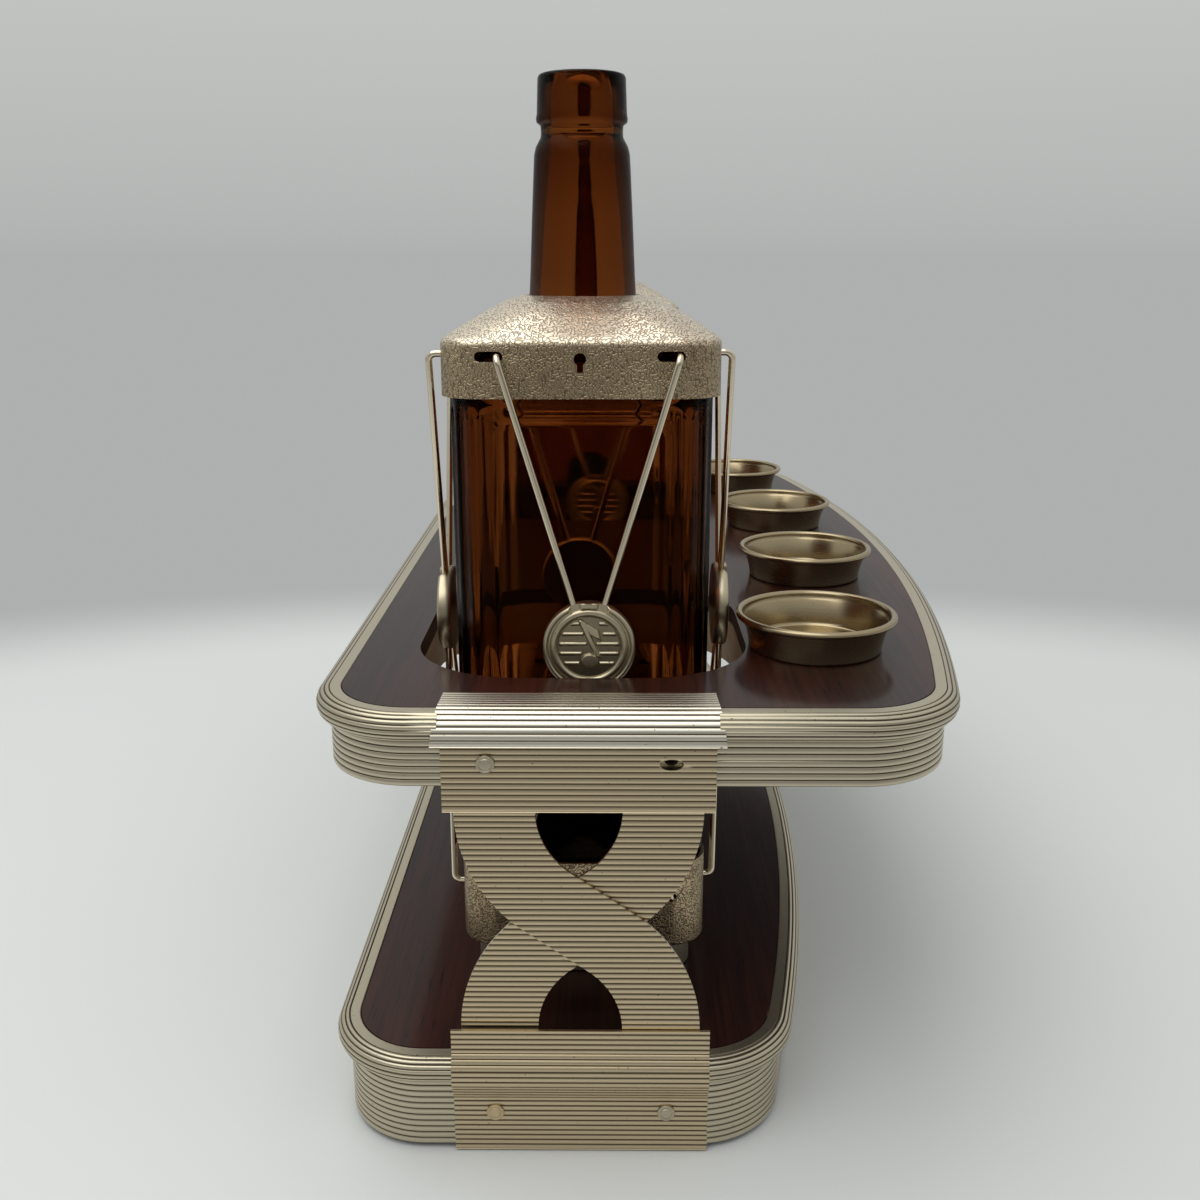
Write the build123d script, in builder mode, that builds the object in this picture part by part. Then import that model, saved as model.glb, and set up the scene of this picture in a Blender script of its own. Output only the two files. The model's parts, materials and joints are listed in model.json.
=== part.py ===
from build123d import *

import os
from math import asin, atan2, degrees, hypot

# Two-tier bar stand with two turning, lift-out square bottles and four cups for glasses.
#
# Millimetres. +Z is up, X runs along the stand and the bowed front faces -Y.
# The origin is on the floor below the middle of the stand's bounding box.

# ---- The two boards -------------------------------------------------------
board_length = 456.0
back_reach = 81.7
top_front_reach = 142.5
base_front_reach = 91.3
top_bow_radius = 975.0
base_bow_radius = 940.0
back_corner_radius = 26.0
front_corner_radius = 29.0
foot_pad_height = 2.0
foot_pad_radius = 10.0
foot_pad_inset = 22.0
foot_pad_end_inset = 50.0
base_top = 38.4
top_top = 166.0
top_thickness = 25.0

# ---- Edge trim: a half-round bead above a flat band ------------------------
bead_width = 8.8
bead_height = 10.0
bead_round = 4.7
band_sheet = 1.2
band_proud = 4.3
band_overhang = 1.0

# ---- End brackets -----------------------------------------------------------
strap_sheet = 1.1
plate_sheet = 1.2
plate_width = 89.0
upper_plate_bottom = 132.4
lower_sheet_top = 50.5
lower_sheet_bottom = 0.8
strap_width = 26.6
strap_outer_width = 82.0
strap_bend = 41.1
strap_tail = 12.0
strap_head = 22.0
hook_rear_width = 91.0
hook_lip_width = 95.0
hook_tongue = 11.0
step_margin = 3.0
step_drop = 6.0
bead_flat = 2.6
bead_gap = 0.1
fold_radius = 1.6
rivet_spacing = 60.0
rivet_head_radius = 3.1
rivet_head_height = 1.0
rivet_head_round = 0.8
rivet_shank_radius = 1.5
rivet_length = 12.0
rivet_clearance = 0.1
upper_rivet_level = 149.5
lower_rivet_level = 16.5

# ---- Bottle places ----------------------------------------------------------
bottle_spacing = 277.0
hole_gap = 5.6
hole_corner = 40.0

# ---- Turntables -------------------------------------------------------------
table_radius = 38.0
table_sheet = 3.2
table_lift = 0.6
table_clearance = 0.6
spindle_radius = 5.0
spindle_length = 22.0
running_clearance = 0.05
bush_wall = 2.0
bush_flange = 2.0
bush_flange_radius = 12.0

# ---- Bottle cage and foot ---------------------------------------------------
foot_width = 82.4
foot_corner = 12.0
foot_ring_height = 13.5
foot_ring_wall = 1.5
foot_opening = 67.0
foot_cap_width = 92.4
foot_cap_corner = 13.0
foot_cap_height = 34.7
cage_sheet = 1.2
deck_sheet = 1.5
deck_level = 22.5
deck_skirt_width = 80.0
deck_clearance = 0.3

# ---- Glass bottle -----------------------------------------------------------
glass_width = 92.0
glass_corner = 17.0
glass_foot_width = 89.2
glass_foot_corner = 14.0
glass_seat_gap = 0.8
glass_wall = 3.4
glass_base = 5.0
glass_shoulder = 262.0
neck_level = 291.0
neck_foot_radius = 19.6
neck_head_radius = 17.1
collar_height = 4.5
groove_radius = 14.5
groove_height = 5.0
lip_radius = 16.1
lip_top_radius = 15.5
lip_height = 16.0
bottle_top = 367.5
bore_radius = 10.5
panel_width = 64.0
panel_depth = 0.8
panel_bottom = 99.0
panel_top = 253.0
panel_corner = 7.0

# ---- Shoulder cap -----------------------------------------------------------
cap_width = 96.5
cap_corner = 15.0
cap_bottom = 260.3
cap_hip = 279.2
cap_crown = 293.0
cap_mouth_radius = 21.4
slot_spacing = 61.0
slot_length = 9.5
slot_height = 3.4
upper_slot_level = 274.3
lower_slot_level = 73.6
keyhole_level = 273.4
keyhole_radius = 2.1
keyhole_tail = 4.4

# ---- Wires and medallions ---------------------------------------------------
wire_radius = 1.2
wire_bend = 2.6
upper_wire_out = 52.6
lower_wire_out = 49.8
wire_tail_out = 43.0
medallion_radius = 16.2
medallion_level = 175.0
medallion_back = 50.2
medallion_thickness = 5.2
medallion_round = 1.5
medallion_rim = 3.4
medallion_dish = 1.4
wire_spread = 9.8
wire_grip = 2.4
wire_drift = 2.8

# ---- Cups -------------------------------------------------------------------
cup_rim_radius = 28.4
cup_floor_radius = 24.6
cup_height = 13.8
cup_sheet = 1.0
cup_roll_radius = 1.3
inner_cup_x = 55.0
inner_cup_reach = 98.6
outer_cup_x = 162.5
outer_cup_reach = 86.6
screw_radius = 1.7
screw_head_radius = 3.6
screw_length = 14.0

# ---- Music movement in each foot --------------------------------------------
works_clearance = 0.5
bedplate_sheet = 2.0
bedplate_width = 56.0
bedplate_depth = 56.0
bedplate_offset = 10.0
housing_radius = 11.0
housing_height = 13.0
key_shaft_radius = 2.0
key_wing_width = 20.0
key_wing_height = 8.0
key_wing_sheet = 1.8
key_floor_gap = 1.6
drum_radius = 6.0
drum_length = 26.0
drum_offset = 21.0
drum_height = 9.4
arbor_radius = 1.4
lug_sheet = 2.0
lug_width = 8.0
wheel_radius = 4.0
wheel_sheet = 2.0
comb_sheet = 1.6
comb_gap = 0.35
comb_depth = 10.0
comb_foot_depth = 4.5
tooth_count = 12
tooth_length = 5.0
tooth_gap = 0.7
worm_radius = 1.9
worm_gap = 0.4
worm_length = 6.5
governor_shaft_radius = 0.9
fan_radius = 4.4
fan_height = 3.3
fan_sheet = 0.8
governor_height = 18.0
pin_radius = 1.5
pin_collar_radius = 2.6
pin_x = -23.0
pin_y = 20.0
pin_gap = 0.4
pin_reach = 12.0

# ---- Levels and sizes that follow -------------------------------------------
half_length = board_length / 2
row_y = (top_front_reach - back_reach) / 2
stations = {"left": -bottle_spacing / 2, "right": bottle_spacing / 2}
band_face = half_length + band_proud
front_strap_face = band_face + strap_sheet
plate_face = front_strap_face + strap_sheet
top_bead_bottom = top_top - bead_height
base_bead_bottom = base_top - bead_height
table_top = base_top + table_lift
foot_cap_bottom = table_top + foot_ring_height
foot_cap_top = foot_cap_bottom + foot_cap_height
works_floor = foot_cap_bottom + cage_sheet
works_bed = works_floor + bedplate_sheet
deck_bottom = works_floor + deck_level
deck_top = deck_bottom + deck_sheet
lip_level = bottle_top - lip_height
groove_bottom = lip_level - groove_height
neck_head_level = groove_bottom - collar_height
medallion_face = medallion_back + medallion_thickness
hole_width = 2 * (medallion_face + hole_gap)


def keep(part, name):
    """Label a finished piece and write it to its own STEP file."""
    part.label = name
    export_step(part, f"parts/{name}.step")


def keep_pair(part, name):
    """Write a piece made on the origin's axis once for each bottle place."""
    for side, place in stations.items():
        keep(part.moved(Location((place, row_y, 0))), f"{side}_{name}")


def keep_ends(part, name):
    """Write a left-end piece, and the same piece turned round for the right end."""
    keep(part, f"left_{name}")
    keep(part.rotate(Axis((0, row_y, 0), (0, 0, 1)), 180), f"right_{name}")


def level(height):
    return Plane.XY.offset(height)


# ---- Boards and their trim --------------------------------------------------
def tier_outline(height, front_reach, bow_radius, grow):
    """D-shaped outline: straight back and ends, a bowed front and four round corners."""
    back_y = row_y + back_reach
    front_y = row_y - front_reach
    sagitta = bow_radius - (bow_radius**2 - half_length**2) ** 0.5
    with BuildSketch(level(height)) as outline:
        with BuildLine():
            back = Line((half_length, back_y), (-half_length, back_y))
            left = Line(back @ 1, (-half_length, front_y + sagitta))
            bow = ThreePointArc(left @ 1, (0, front_y), (half_length, front_y + sagitta))
            Line(bow @ 1, back @ 0)
        make_face()
        fillet(outline.vertices().group_by(Axis.Y)[-1], radius=back_corner_radius)
        fillet(outline.vertices().filter_by(lambda v: v.Y < row_y), radius=front_corner_radius)
        if grow:
            offset(amount=grow, kind=Kind.ARC)
    return outline.sketch


def raise_tier(front_reach, bow_radius, bottom, top, grow=0.0, mode=Mode.ADD):
    """Add or cut a straight-sided layer of the tier's outline, grown by a margin."""
    extrude(tier_outline(bottom, front_reach, bow_radius, grow), amount=top - bottom, mode=mode)


def raise_board(front_reach, bow_radius, bottom, top):
    """A board whose upper edge is stepped back to seat the bead."""
    raise_tier(front_reach, bow_radius, bottom, top - bead_height, band_proud - band_sheet)
    raise_tier(front_reach, bow_radius, top - bead_height, top)


def make_bead(front_reach, bow_radius, top, name):
    """A half-round moulding with its flat side against the board's edge."""
    bottom = top - bead_height
    with BuildPart() as bead:
        raise_tier(front_reach, bow_radius, bottom, top, bead_width)
        rims = bead.edges().group_by(Axis.Z)
        fillet(rims[0] + rims[-1], radius=bead_round)
        raise_tier(front_reach, bow_radius, bottom, top, mode=Mode.SUBTRACT)
    keep(bead.part, name)


def make_band(front_reach, bow_radius, bottom, top, rivet_level, name):
    """The flat trim wrapped round the board under the bead."""
    inside = band_proud - band_sheet
    with BuildPart() as trim:
        raise_tier(front_reach, bow_radius, bottom, top, band_proud)
        raise_tier(front_reach, bow_radius, bottom, top, inside, Mode.SUBTRACT)
        drill_rivets(rivet_level)
    keep(trim.part, name)


def rivet_places(height):
    """The rivet places at one height, as planes on the band that face out of each end."""
    return [
        Plane((end * band_face, row_y + side * rivet_spacing / 2, height), z_dir=(end, 0, 0))
        for end in (-1, 1)
        for side in (-1, 1)
    ]


def drill_rivets(height):
    """Cut the rivet holes of one height through whatever the active part has there."""
    with BuildSketch(*rivet_places(height)) as holes:
        Circle(rivet_shank_radius + rivet_clearance)
    extrude(holes.sketch, amount=rivet_length, both=True, mode=Mode.SUBTRACT)


def cup_places():
    """Where the four cups stand along the bow, from left to right."""
    near = [(inner_cup_x, row_y - inner_cup_reach), (outer_cup_x, row_y - outer_cup_reach)]
    return [(-x, y) for x, y in reversed(near)] + near


def make_top_tier():
    bottom = top_top - top_thickness
    with BuildPart() as top_board:
        raise_board(top_front_reach, top_bow_radius, bottom, top_top)
        for place in stations.values():
            with BuildSketch(Plane((place, row_y, top_top))):
                RectangleRounded(hole_width, hole_width, hole_corner)
            extrude(amount=-top_thickness, mode=Mode.SUBTRACT)
        drill_rivets(upper_rivet_level)
        for x, y in cup_places():
            with BuildSketch(Plane((x, y, top_top))):
                Circle(screw_radius)
            extrude(amount=cup_sheet - screw_length, mode=Mode.SUBTRACT)
    keep(top_board.part, "top_board")
    make_bead(top_front_reach, top_bow_radius, top_top, "top_bead")
    band_bottom = bottom - band_overhang
    band_top = top_top - bead_height
    make_band(top_front_reach, top_bow_radius, band_bottom, band_top, upper_rivet_level, "top_band")


def make_base_tier():
    recess = table_lift - table_sheet - bush_flange
    with BuildPart() as base_board:
        raise_board(base_front_reach, base_bow_radius, foot_pad_height, base_top)
        for place in stations.values():
            with BuildSketch(Plane((place, row_y, base_top))):
                Circle(table_radius + table_clearance)
            extrude(amount=recess, mode=Mode.SUBTRACT)
            with BuildSketch(Plane((place, row_y, base_top))):
                Circle(spindle_radius + running_clearance + bush_wall)
            extrude(amount=recess - spindle_length, mode=Mode.SUBTRACT)
        drill_rivets(lower_rivet_level)
    keep(base_board.part, "base_board")
    make_bead(base_front_reach, base_bow_radius, base_top, "base_bead")
    band_top = base_top - bead_height
    make_band(base_front_reach, base_bow_radius, foot_pad_height, band_top, lower_rivet_level, "base_band")


def make_felt_feet():
    """Six felt discs under the base, in three pairs."""
    back_y = row_y + back_reach - foot_pad_inset
    end_y = row_y - base_front_reach + foot_pad_end_inset
    middle_y = row_y - base_front_reach + foot_pad_inset
    end_x = half_length - foot_pad_inset
    places = [(-end_x, back_y), (0, back_y), (end_x, back_y)]
    places += [(-end_x, end_y), (0, middle_y), (end_x, end_y)]
    with BuildPart() as felt_feet:
        with BuildSketch():
            with Locations(*places):
                Circle(foot_pad_radius)
        extrude(amount=foot_pad_height)
    keep(felt_feet.part, "felt_feet")


# ---- End brackets -----------------------------------------------------------
def end_plane(face):
    """A plane on the left end, facing out, with x to the stand's front and y up."""
    return Plane((-face, row_y, 0), x_dir=(0, -1, 0), z_dir=(-1, 0, 0))


def make_strap(face, hand, name):
    """An S-shaped strap: two equal bends joined by a straight, slanting across the end.

    hand is 1 where the strap's head is at the back of the stand, and -1 where it is at the front.
    """
    middle = (upper_plate_bottom + lower_sheet_top) / 2
    rise = (upper_plate_bottom - lower_sheet_top) / 2
    side = (strap_outer_width - strap_width) / 2
    inset = strap_bend - side
    lean = hand * degrees(asin(strap_bend / hypot(rise, inset)) - atan2(inset, rise))
    with BuildPart() as piece:
        with BuildSketch(end_plane(face)):
            with BuildLine():
                top = (-side * hand, middle + rise + strap_head)
                head = Line(top, (-side * hand, middle + rise))
                upper = JernArc(head @ 1, (0, -1), strap_bend, lean)
                far = (-(upper @ 1).X, 2 * middle - (upper @ 1).Y)
                slant = Line(upper @ 1, far)
                lower = JernArc(slant @ 1, slant % 1, strap_bend, -lean)
                Line(lower @ 1, (side * hand, middle - rise - strap_tail))
            trace(line_width=strap_width)
        extrude(amount=strap_sheet)
        drill_rivets(upper_rivet_level)
    keep_ends(piece.part, name)


def make_upper_plate():
    """The ribbed plate riveted over the straps' heads."""
    top = top_top - bead_height - bead_gap
    with BuildPart() as upper_plate:
        with BuildSketch(end_plane(plate_face)):
            with Locations((0, (top + upper_plate_bottom) / 2)):
                Rectangle(plate_width, top - upper_plate_bottom)
        extrude(amount=plate_sheet)
        drill_rivets(upper_rivet_level)
    keep_ends(upper_plate.part, "upper_plate")


def fold_sheet(points, radii, width):
    """A strip of sheet folded along points of its inner face, as wide each side of the row."""
    with BuildSketch(Plane.XZ.offset(-row_y)) as section:
        with BuildLine():
            FilletPolyline(*points, radius=radii)
            offset(amount=plate_sheet, side=Side.RIGHT)
        make_face()
    extrude(section.sketch, amount=width / 2, both=True)


def make_hook_strip():
    """The strip that hooks over the top bead, a little wider at its lip than at its tongue."""
    rear = -half_length + hook_tongue
    inner = -half_length - bead_width - bead_gap
    lip = inner - plate_sheet
    points = [(rear, top_top), (inner, top_top), (inner, top_top - bead_height)]
    with BuildPart() as hook_strip:
        fold_sheet(points, bead_round + bead_gap, hook_lip_width)
        with BuildSketch(level(top_top - bead_height)):
            with BuildLine():
                half_rear = hook_rear_width / 2
                half_lip = hook_lip_width / 2
                corners = [(rear, row_y - half_rear), (lip, row_y - half_lip)]
                corners += [(lip, row_y + half_lip), (rear, row_y + half_rear)]
                Polyline(*corners, close=True)
            make_face()
        extrude(amount=bead_height + plate_sheet, mode=Mode.INTERSECT)
    keep_ends(hook_strip.part, "hook_strip")


def make_lower_sheet():
    """One sheet over the straps' feet, out over the base bead and down the band."""
    crest = -half_length - bead_width - bead_gap
    bead_middle = base_top - bead_height / 2
    points = [
        (-plate_face, lower_sheet_top),
        (-plate_face, base_top + step_margin),
        (crest, bead_middle + bead_flat),
        (crest, bead_middle - bead_flat),
        (-band_face, base_top - bead_height - step_drop),
        (-band_face, lower_sheet_bottom),
    ]
    with BuildPart() as lower_sheet:
        fold_sheet(points, fold_radius, plate_width)
        drill_rivets(lower_rivet_level)
    keep_ends(lower_sheet.part, "lower_sheet")


def make_rivets(end, side, lost=None):
    """Four domed rivets of one end; lost names the (across, height) of one that is missing."""
    faces = {upper_rivet_level: plate_face + plate_sheet, lower_rivet_level: band_face + plate_sheet}
    seats = [
        Plane((end * face, row_y + across * rivet_spacing / 2, height), z_dir=(end, 0, 0))
        for height, face in faces.items()
        for across in (-1, 1)
        if (across, height) != lost
    ]
    with BuildPart() as rivets:
        with BuildSketch(*seats):
            Circle(rivet_head_radius)
        extrude(amount=rivet_head_height)
        brims = rivets.edges().group_by(Axis.X)[0 if end < 0 else -1]
        fillet(brims, radius=rivet_head_round)
        with BuildSketch(*seats):
            Circle(rivet_shank_radius)
        extrude(amount=-rivet_length)
    keep(rivets.part, f"{side}_rivets")


# ---- Cups -------------------------------------------------------------------
def make_cups():
    """Four shallow cups, thin-walled and flared, with a rolled rim and a countersunk hole."""
    rise = cup_height - cup_roll_radius
    with BuildPart() as cup:
        with BuildSketch(Plane.XZ):
            with BuildLine():
                floor = Line((screw_radius, 0), (cup_floor_radius, 0))
                wall = Line(floor @ 1, (cup_rim_radius, rise))
                lip = Line(wall @ 1, (cup_rim_radius - cup_sheet, rise))
                inner = Line(lip @ 1, (cup_floor_radius - cup_sheet, cup_sheet))
                bed = Line(inner @ 1, (screw_head_radius, cup_sheet))
                Line(bed @ 1, floor @ 0)
            make_face()
        revolve(axis=Axis.Z)
        with BuildSketch(Plane.XZ):
            with Locations((cup_rim_radius, rise)):
                Circle(cup_roll_radius)
        revolve(axis=Axis.Z)
    for number, (x, y) in enumerate(cup_places(), start=1):
        keep(cup.part.moved(Location((x, y, top_top))), f"cup_{number}")


def make_cup_screws():
    """The countersunk screw that holds each cup, its head flush with the cup's floor."""
    with BuildPart() as screws:
        for x, y in cup_places():
            with BuildSketch(Plane((x, y, top_top), x_dir=(1, 0, 0), z_dir=(0, -1, 0))):
                with BuildLine():
                    Polyline(
                        (0, cup_sheet),
                        (screw_head_radius, cup_sheet),
                        (screw_radius, 0),
                        (screw_radius, cup_sheet - screw_length),
                        (0, cup_sheet - screw_length),
                        close=True,
                    )
                make_face()
            revolve(axis=Axis((x, y, top_top), (0, 0, 1)))
    keep(screws.part, "cup_screws")


# ---- Turntables -------------------------------------------------------------
def make_turntable():
    """A disc in the base board's recess, with the spindle that it turns on."""
    with BuildPart() as turntable:
        with BuildSketch(level(table_top)):
            Circle(table_radius)
        extrude(amount=-table_sheet)
        chamfer(turntable.edges().group_by(Axis.Z)[-1], length=table_sheet / 8)
        with BuildSketch(level(table_top - table_sheet)):
            Circle(spindle_radius)
        extrude(amount=-spindle_length)
    keep_pair(turntable.part, "turntable")


def make_bush():
    """The flanged bush pressed into the base board; its flange carries the disc."""
    top = table_top - table_sheet
    with BuildPart() as bush:
        with BuildSketch(level(top)):
            Circle(bush_flange_radius)
        extrude(amount=-bush_flange)
        with BuildSketch(level(top)):
            Circle(spindle_radius + running_clearance + bush_wall)
        extrude(amount=-spindle_length)
        with BuildSketch(level(top)):
            Circle(spindle_radius + running_clearance)
        extrude(amount=-spindle_length, mode=Mode.SUBTRACT)
    keep_pair(bush.part, "bush")


# ---- Foot of the cage -------------------------------------------------------
def rounded_square(width, corner):
    RectangleRounded(width, width, corner)


def make_foot_ring():
    """The stepped-in ring under the cage, turned in at the bottom to sit on the turntable."""
    with BuildPart() as foot_ring:
        with BuildSketch(level(table_top)):
            rounded_square(foot_width, foot_corner)
        extrude(amount=foot_ring_height)
        inner = foot_width - 2 * foot_ring_wall
        with BuildSketch(level(table_top + foot_ring_wall)):
            rounded_square(inner, foot_corner - foot_ring_wall)
        extrude(amount=foot_ring_height, mode=Mode.SUBTRACT)
        with BuildSketch(level(table_top)):
            rounded_square(foot_opening, foot_corner)
        extrude(amount=foot_ring_wall, mode=Mode.SUBTRACT)
    keep_pair(foot_ring.part, "foot_ring")


def side_planes(height, out):
    """The four sides of the cage: planes at one height, facing out, with y up."""
    planes = []
    for turn in (0, 90, 180, 270):
        facing = Vector(0, -1, 0).rotate(Axis.Z, turn)
        across = Vector(1, 0, 0).rotate(Axis.Z, turn)
        planes.append(Plane(facing * out + Vector(0, 0, height), x_dir=across, z_dir=facing))
    return planes


def cut_slots(height, out):
    """Two wire slots through each side wall."""
    with BuildSketch(*side_planes(height, out)) as slots:
        with GridLocations(slot_spacing, 0, 2, 1):
            SlotOverall(slot_length, slot_height)
    extrude(slots.sketch, amount=-2 * cage_sheet, mode=Mode.SUBTRACT)


def make_foot_cap():
    """The square pan that holds the bottle's foot and the music movement."""
    with BuildPart() as foot_cap:
        with BuildSketch(level(foot_cap_bottom)):
            rounded_square(foot_cap_width, foot_cap_corner)
        extrude(amount=foot_cap_height)
        fillet(foot_cap.edges().group_by(Axis.Z)[0], radius=cage_sheet)
        inner = foot_cap_width - 2 * cage_sheet
        with BuildSketch(level(works_floor)):
            rounded_square(inner, foot_cap_corner - cage_sheet)
        extrude(amount=foot_cap_height, mode=Mode.SUBTRACT)
        cut_slots(lower_slot_level, foot_cap_width / 2)
        with BuildSketch(level(foot_cap_bottom)):
            Circle(key_shaft_radius + works_clearance)
            with Locations((pin_x, pin_y)):
                Circle(pin_radius + works_clearance)
        extrude(amount=cage_sheet, mode=Mode.SUBTRACT)
    keep_pair(foot_cap.part, "foot_cap")


def make_bottle_deck():
    """The inverted tray over the movement that the glass stands on."""
    with BuildPart() as bottle_deck:
        deck_width = foot_cap_width - 2 * (cage_sheet + deck_clearance)
        with BuildSketch(level(deck_bottom)):
            rounded_square(deck_width, foot_cap_corner - cage_sheet)
        extrude(amount=deck_sheet)
        with BuildSketch(level(works_floor)):
            rounded_square(deck_skirt_width, foot_corner)
            inside = deck_skirt_width - 2 * deck_sheet
            RectangleRounded(inside, inside, foot_corner - deck_sheet, mode=Mode.SUBTRACT)
        extrude(amount=deck_level)
    keep_pair(bottle_deck.part, "bottle_deck")


# ---- Glass bottle -----------------------------------------------------------
def make_glass_bottle():
    """A square bottle with a panel on each side, tapered shoulders and a round neck."""
    waist = foot_cap_top + glass_seat_gap
    with BuildPart() as glass_bottle:
        with BuildSketch(level(deck_top)):
            rounded_square(glass_foot_width, glass_foot_corner)
        extrude(amount=waist - deck_top)
        with BuildSketch(level(waist)):
            rounded_square(glass_width, glass_corner)
        extrude(amount=glass_shoulder - waist)
        with BuildSketch(level(glass_shoulder)):
            rounded_square(glass_width, glass_corner)
        with BuildSketch(level(neck_level)):
            rounded_square(2 * neck_foot_radius, neck_foot_radius * 0.98)
        loft()
        with BuildSketch(*side_planes((panel_bottom + panel_top) / 2, glass_width / 2)):
            RectangleRounded(panel_width, panel_top - panel_bottom, panel_corner)
        extrude(amount=-panel_depth, mode=Mode.SUBTRACT)
        with BuildSketch(Plane.XZ):
            with BuildLine():
                Polyline(
                    (0, glass_shoulder),
                    (neck_foot_radius - 1, glass_shoulder),
                    (neck_foot_radius, neck_level),
                    (neck_head_radius, neck_head_level),
                    (groove_radius, groove_bottom),
                    (groove_radius, lip_level),
                    (lip_radius, lip_level),
                    (lip_top_radius, bottle_top),
                    (0, bottle_top),
                    close=True,
                )
            make_face()
        revolve(axis=Axis.Z)
        with BuildSketch(level(deck_top + glass_base)):
            rounded_square(glass_foot_width - 2 * glass_wall, glass_corner - glass_wall)
        extrude(amount=glass_shoulder - deck_top - glass_base, mode=Mode.SUBTRACT)
        with BuildSketch(level(glass_shoulder)):
            rounded_square(glass_foot_width - 2 * glass_wall, glass_corner - glass_wall)
        with BuildSketch(level(neck_level)):
            rounded_square(2 * bore_radius, bore_radius * 0.98)
        loft(mode=Mode.SUBTRACT)
        with BuildSketch(level(bottle_top)):
            Circle(bore_radius)
        extrude(amount=neck_level - bottle_top - glass_wall, mode=Mode.SUBTRACT)
    keep_pair(glass_bottle.part, "glass_bottle")


# ---- Shoulder cap -----------------------------------------------------------
def make_shoulder_cap():
    """The pressed cap over the bottle's shoulders: a square band and a hipped crown."""
    inner_width = cap_width - 2 * cage_sheet
    inner_corner = cap_corner - cage_sheet
    mouth = cap_mouth_radius - cage_sheet
    with BuildPart() as shoulder_cap:
        with BuildSketch(level(cap_bottom)):
            rounded_square(cap_width, cap_corner)
        extrude(amount=cap_hip - cap_bottom)
        with BuildSketch(level(cap_hip)):
            rounded_square(cap_width, cap_corner)
        with BuildSketch(level(cap_crown)):
            rounded_square(2 * cap_mouth_radius, cap_mouth_radius * 0.98)
        loft()
        with BuildSketch(level(cap_bottom)):
            rounded_square(inner_width, inner_corner)
        extrude(amount=cap_hip - cap_bottom - cage_sheet / 2, mode=Mode.SUBTRACT)
        with BuildSketch(level(cap_hip - cage_sheet / 2)):
            rounded_square(inner_width, inner_corner)
        with BuildSketch(level(cap_crown - cage_sheet)):
            rounded_square(2 * mouth, mouth * 0.98)
        loft(mode=Mode.SUBTRACT)
        with BuildSketch(level(cap_crown)):
            Circle(mouth - cage_sheet / 2)
        extrude(amount=-3 * cage_sheet, mode=Mode.SUBTRACT)
        cut_slots(upper_slot_level, cap_width / 2)
        with BuildSketch(*side_planes(keyhole_level, cap_width / 2)):
            Circle(keyhole_radius)
            with Locations((0, -keyhole_tail / 2)):
                Rectangle(keyhole_radius, keyhole_tail)
        extrude(amount=-2 * cage_sheet, mode=Mode.SUBTRACT)
    keep_pair(shoulder_cap.part, "shoulder_cap")


# ---- Wires and medallions ---------------------------------------------------
def make_wires(slot_level, wire_out, name):
    """Two wires a side, pushed to one end of the cap's slots and gripped by the medallion."""
    up = 1 if slot_level > medallion_level else -1
    grip = (medallion_radius**2 - (wire_spread / 2) ** 2) ** 0.5 - wire_grip
    inside = medallion_back + medallion_thickness / 2
    with BuildPart() as wires:
        for side in side_planes(0, 0):
            for hand in (-1, 1):
                hook = wire_drift + hand * slot_spacing / 2
                tail = (hook, slot_level, wire_tail_out)
                bend = (hook, slot_level, wire_out)
                end = (wire_drift + hand * wire_spread / 2, medallion_level + up * grip, inside)
                with BuildLine() as route:
                    points = [side.from_local_coords(point) for point in (tail, bend, end)]
                    FilletPolyline(*points, radius=wire_bend)
                with BuildSketch(Plane(route.line @ 0, z_dir=route.line % 0)):
                    Circle(wire_radius)
                sweep()
    keep_pair(wires.part, name)


def make_medallions():
    """A round boss on each side, as far along it as its wires, dished inside a raised rim."""
    with BuildPart() as medallions:
        with BuildSketch(*side_planes(medallion_level, medallion_back)):
            with Locations((wire_drift, 0)):
                Circle(medallion_radius)
        extrude(amount=medallion_thickness)
        brims = medallions.edges().filter_by(GeomType.CIRCLE).group_by(lambda edge: edge.arc_center.length)
        fillet(brims[-1], radius=medallion_round)
        with BuildSketch(*side_planes(medallion_level, medallion_face)):
            with Locations((wire_drift, 0)):
                Circle(medallion_radius - medallion_rim)
        extrude(amount=-medallion_dish, mode=Mode.SUBTRACT)
    keep_pair(medallions.part, "medallions")


# ---- Music movement ---------------------------------------------------------
lug_face = drum_length / 2 + works_clearance
drum_level = works_bed + drum_height
governor_x = lug_face + lug_sheet + works_clearance + wheel_sheet / 2
governor_y = drum_offset + wheel_radius + worm_gap + worm_radius


def make_bedplate():
    """The movement's plate, with two lugs for the drum and bores for what turns or slides."""
    with BuildPart() as bedplate:
        with BuildSketch(level(works_floor)):
            with Locations((0, bedplate_offset)):
                Rectangle(bedplate_width, bedplate_depth)
            Circle(key_shaft_radius + running_clearance, mode=Mode.SUBTRACT)
            with Locations((pin_x, pin_y)):
                Circle(pin_radius + running_clearance, mode=Mode.SUBTRACT)
            with Locations((governor_x, governor_y)):
                Circle(governor_shaft_radius + running_clearance, mode=Mode.SUBTRACT)
        extrude(amount=bedplate_sheet)
        for face in (-lug_face - lug_sheet, lug_face):
            with BuildSketch(Plane.YZ.offset(face)):
                with Locations((drum_offset, works_bed + drum_height / 2)):
                    Rectangle(lug_width, drum_height)
                with Locations((drum_offset, drum_level)):
                    Circle(lug_width / 2)
                    Circle(arbor_radius + running_clearance, mode=Mode.SUBTRACT)
            extrude(amount=lug_sheet)
    keep_pair(bedplate.part, "bedplate")


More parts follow.
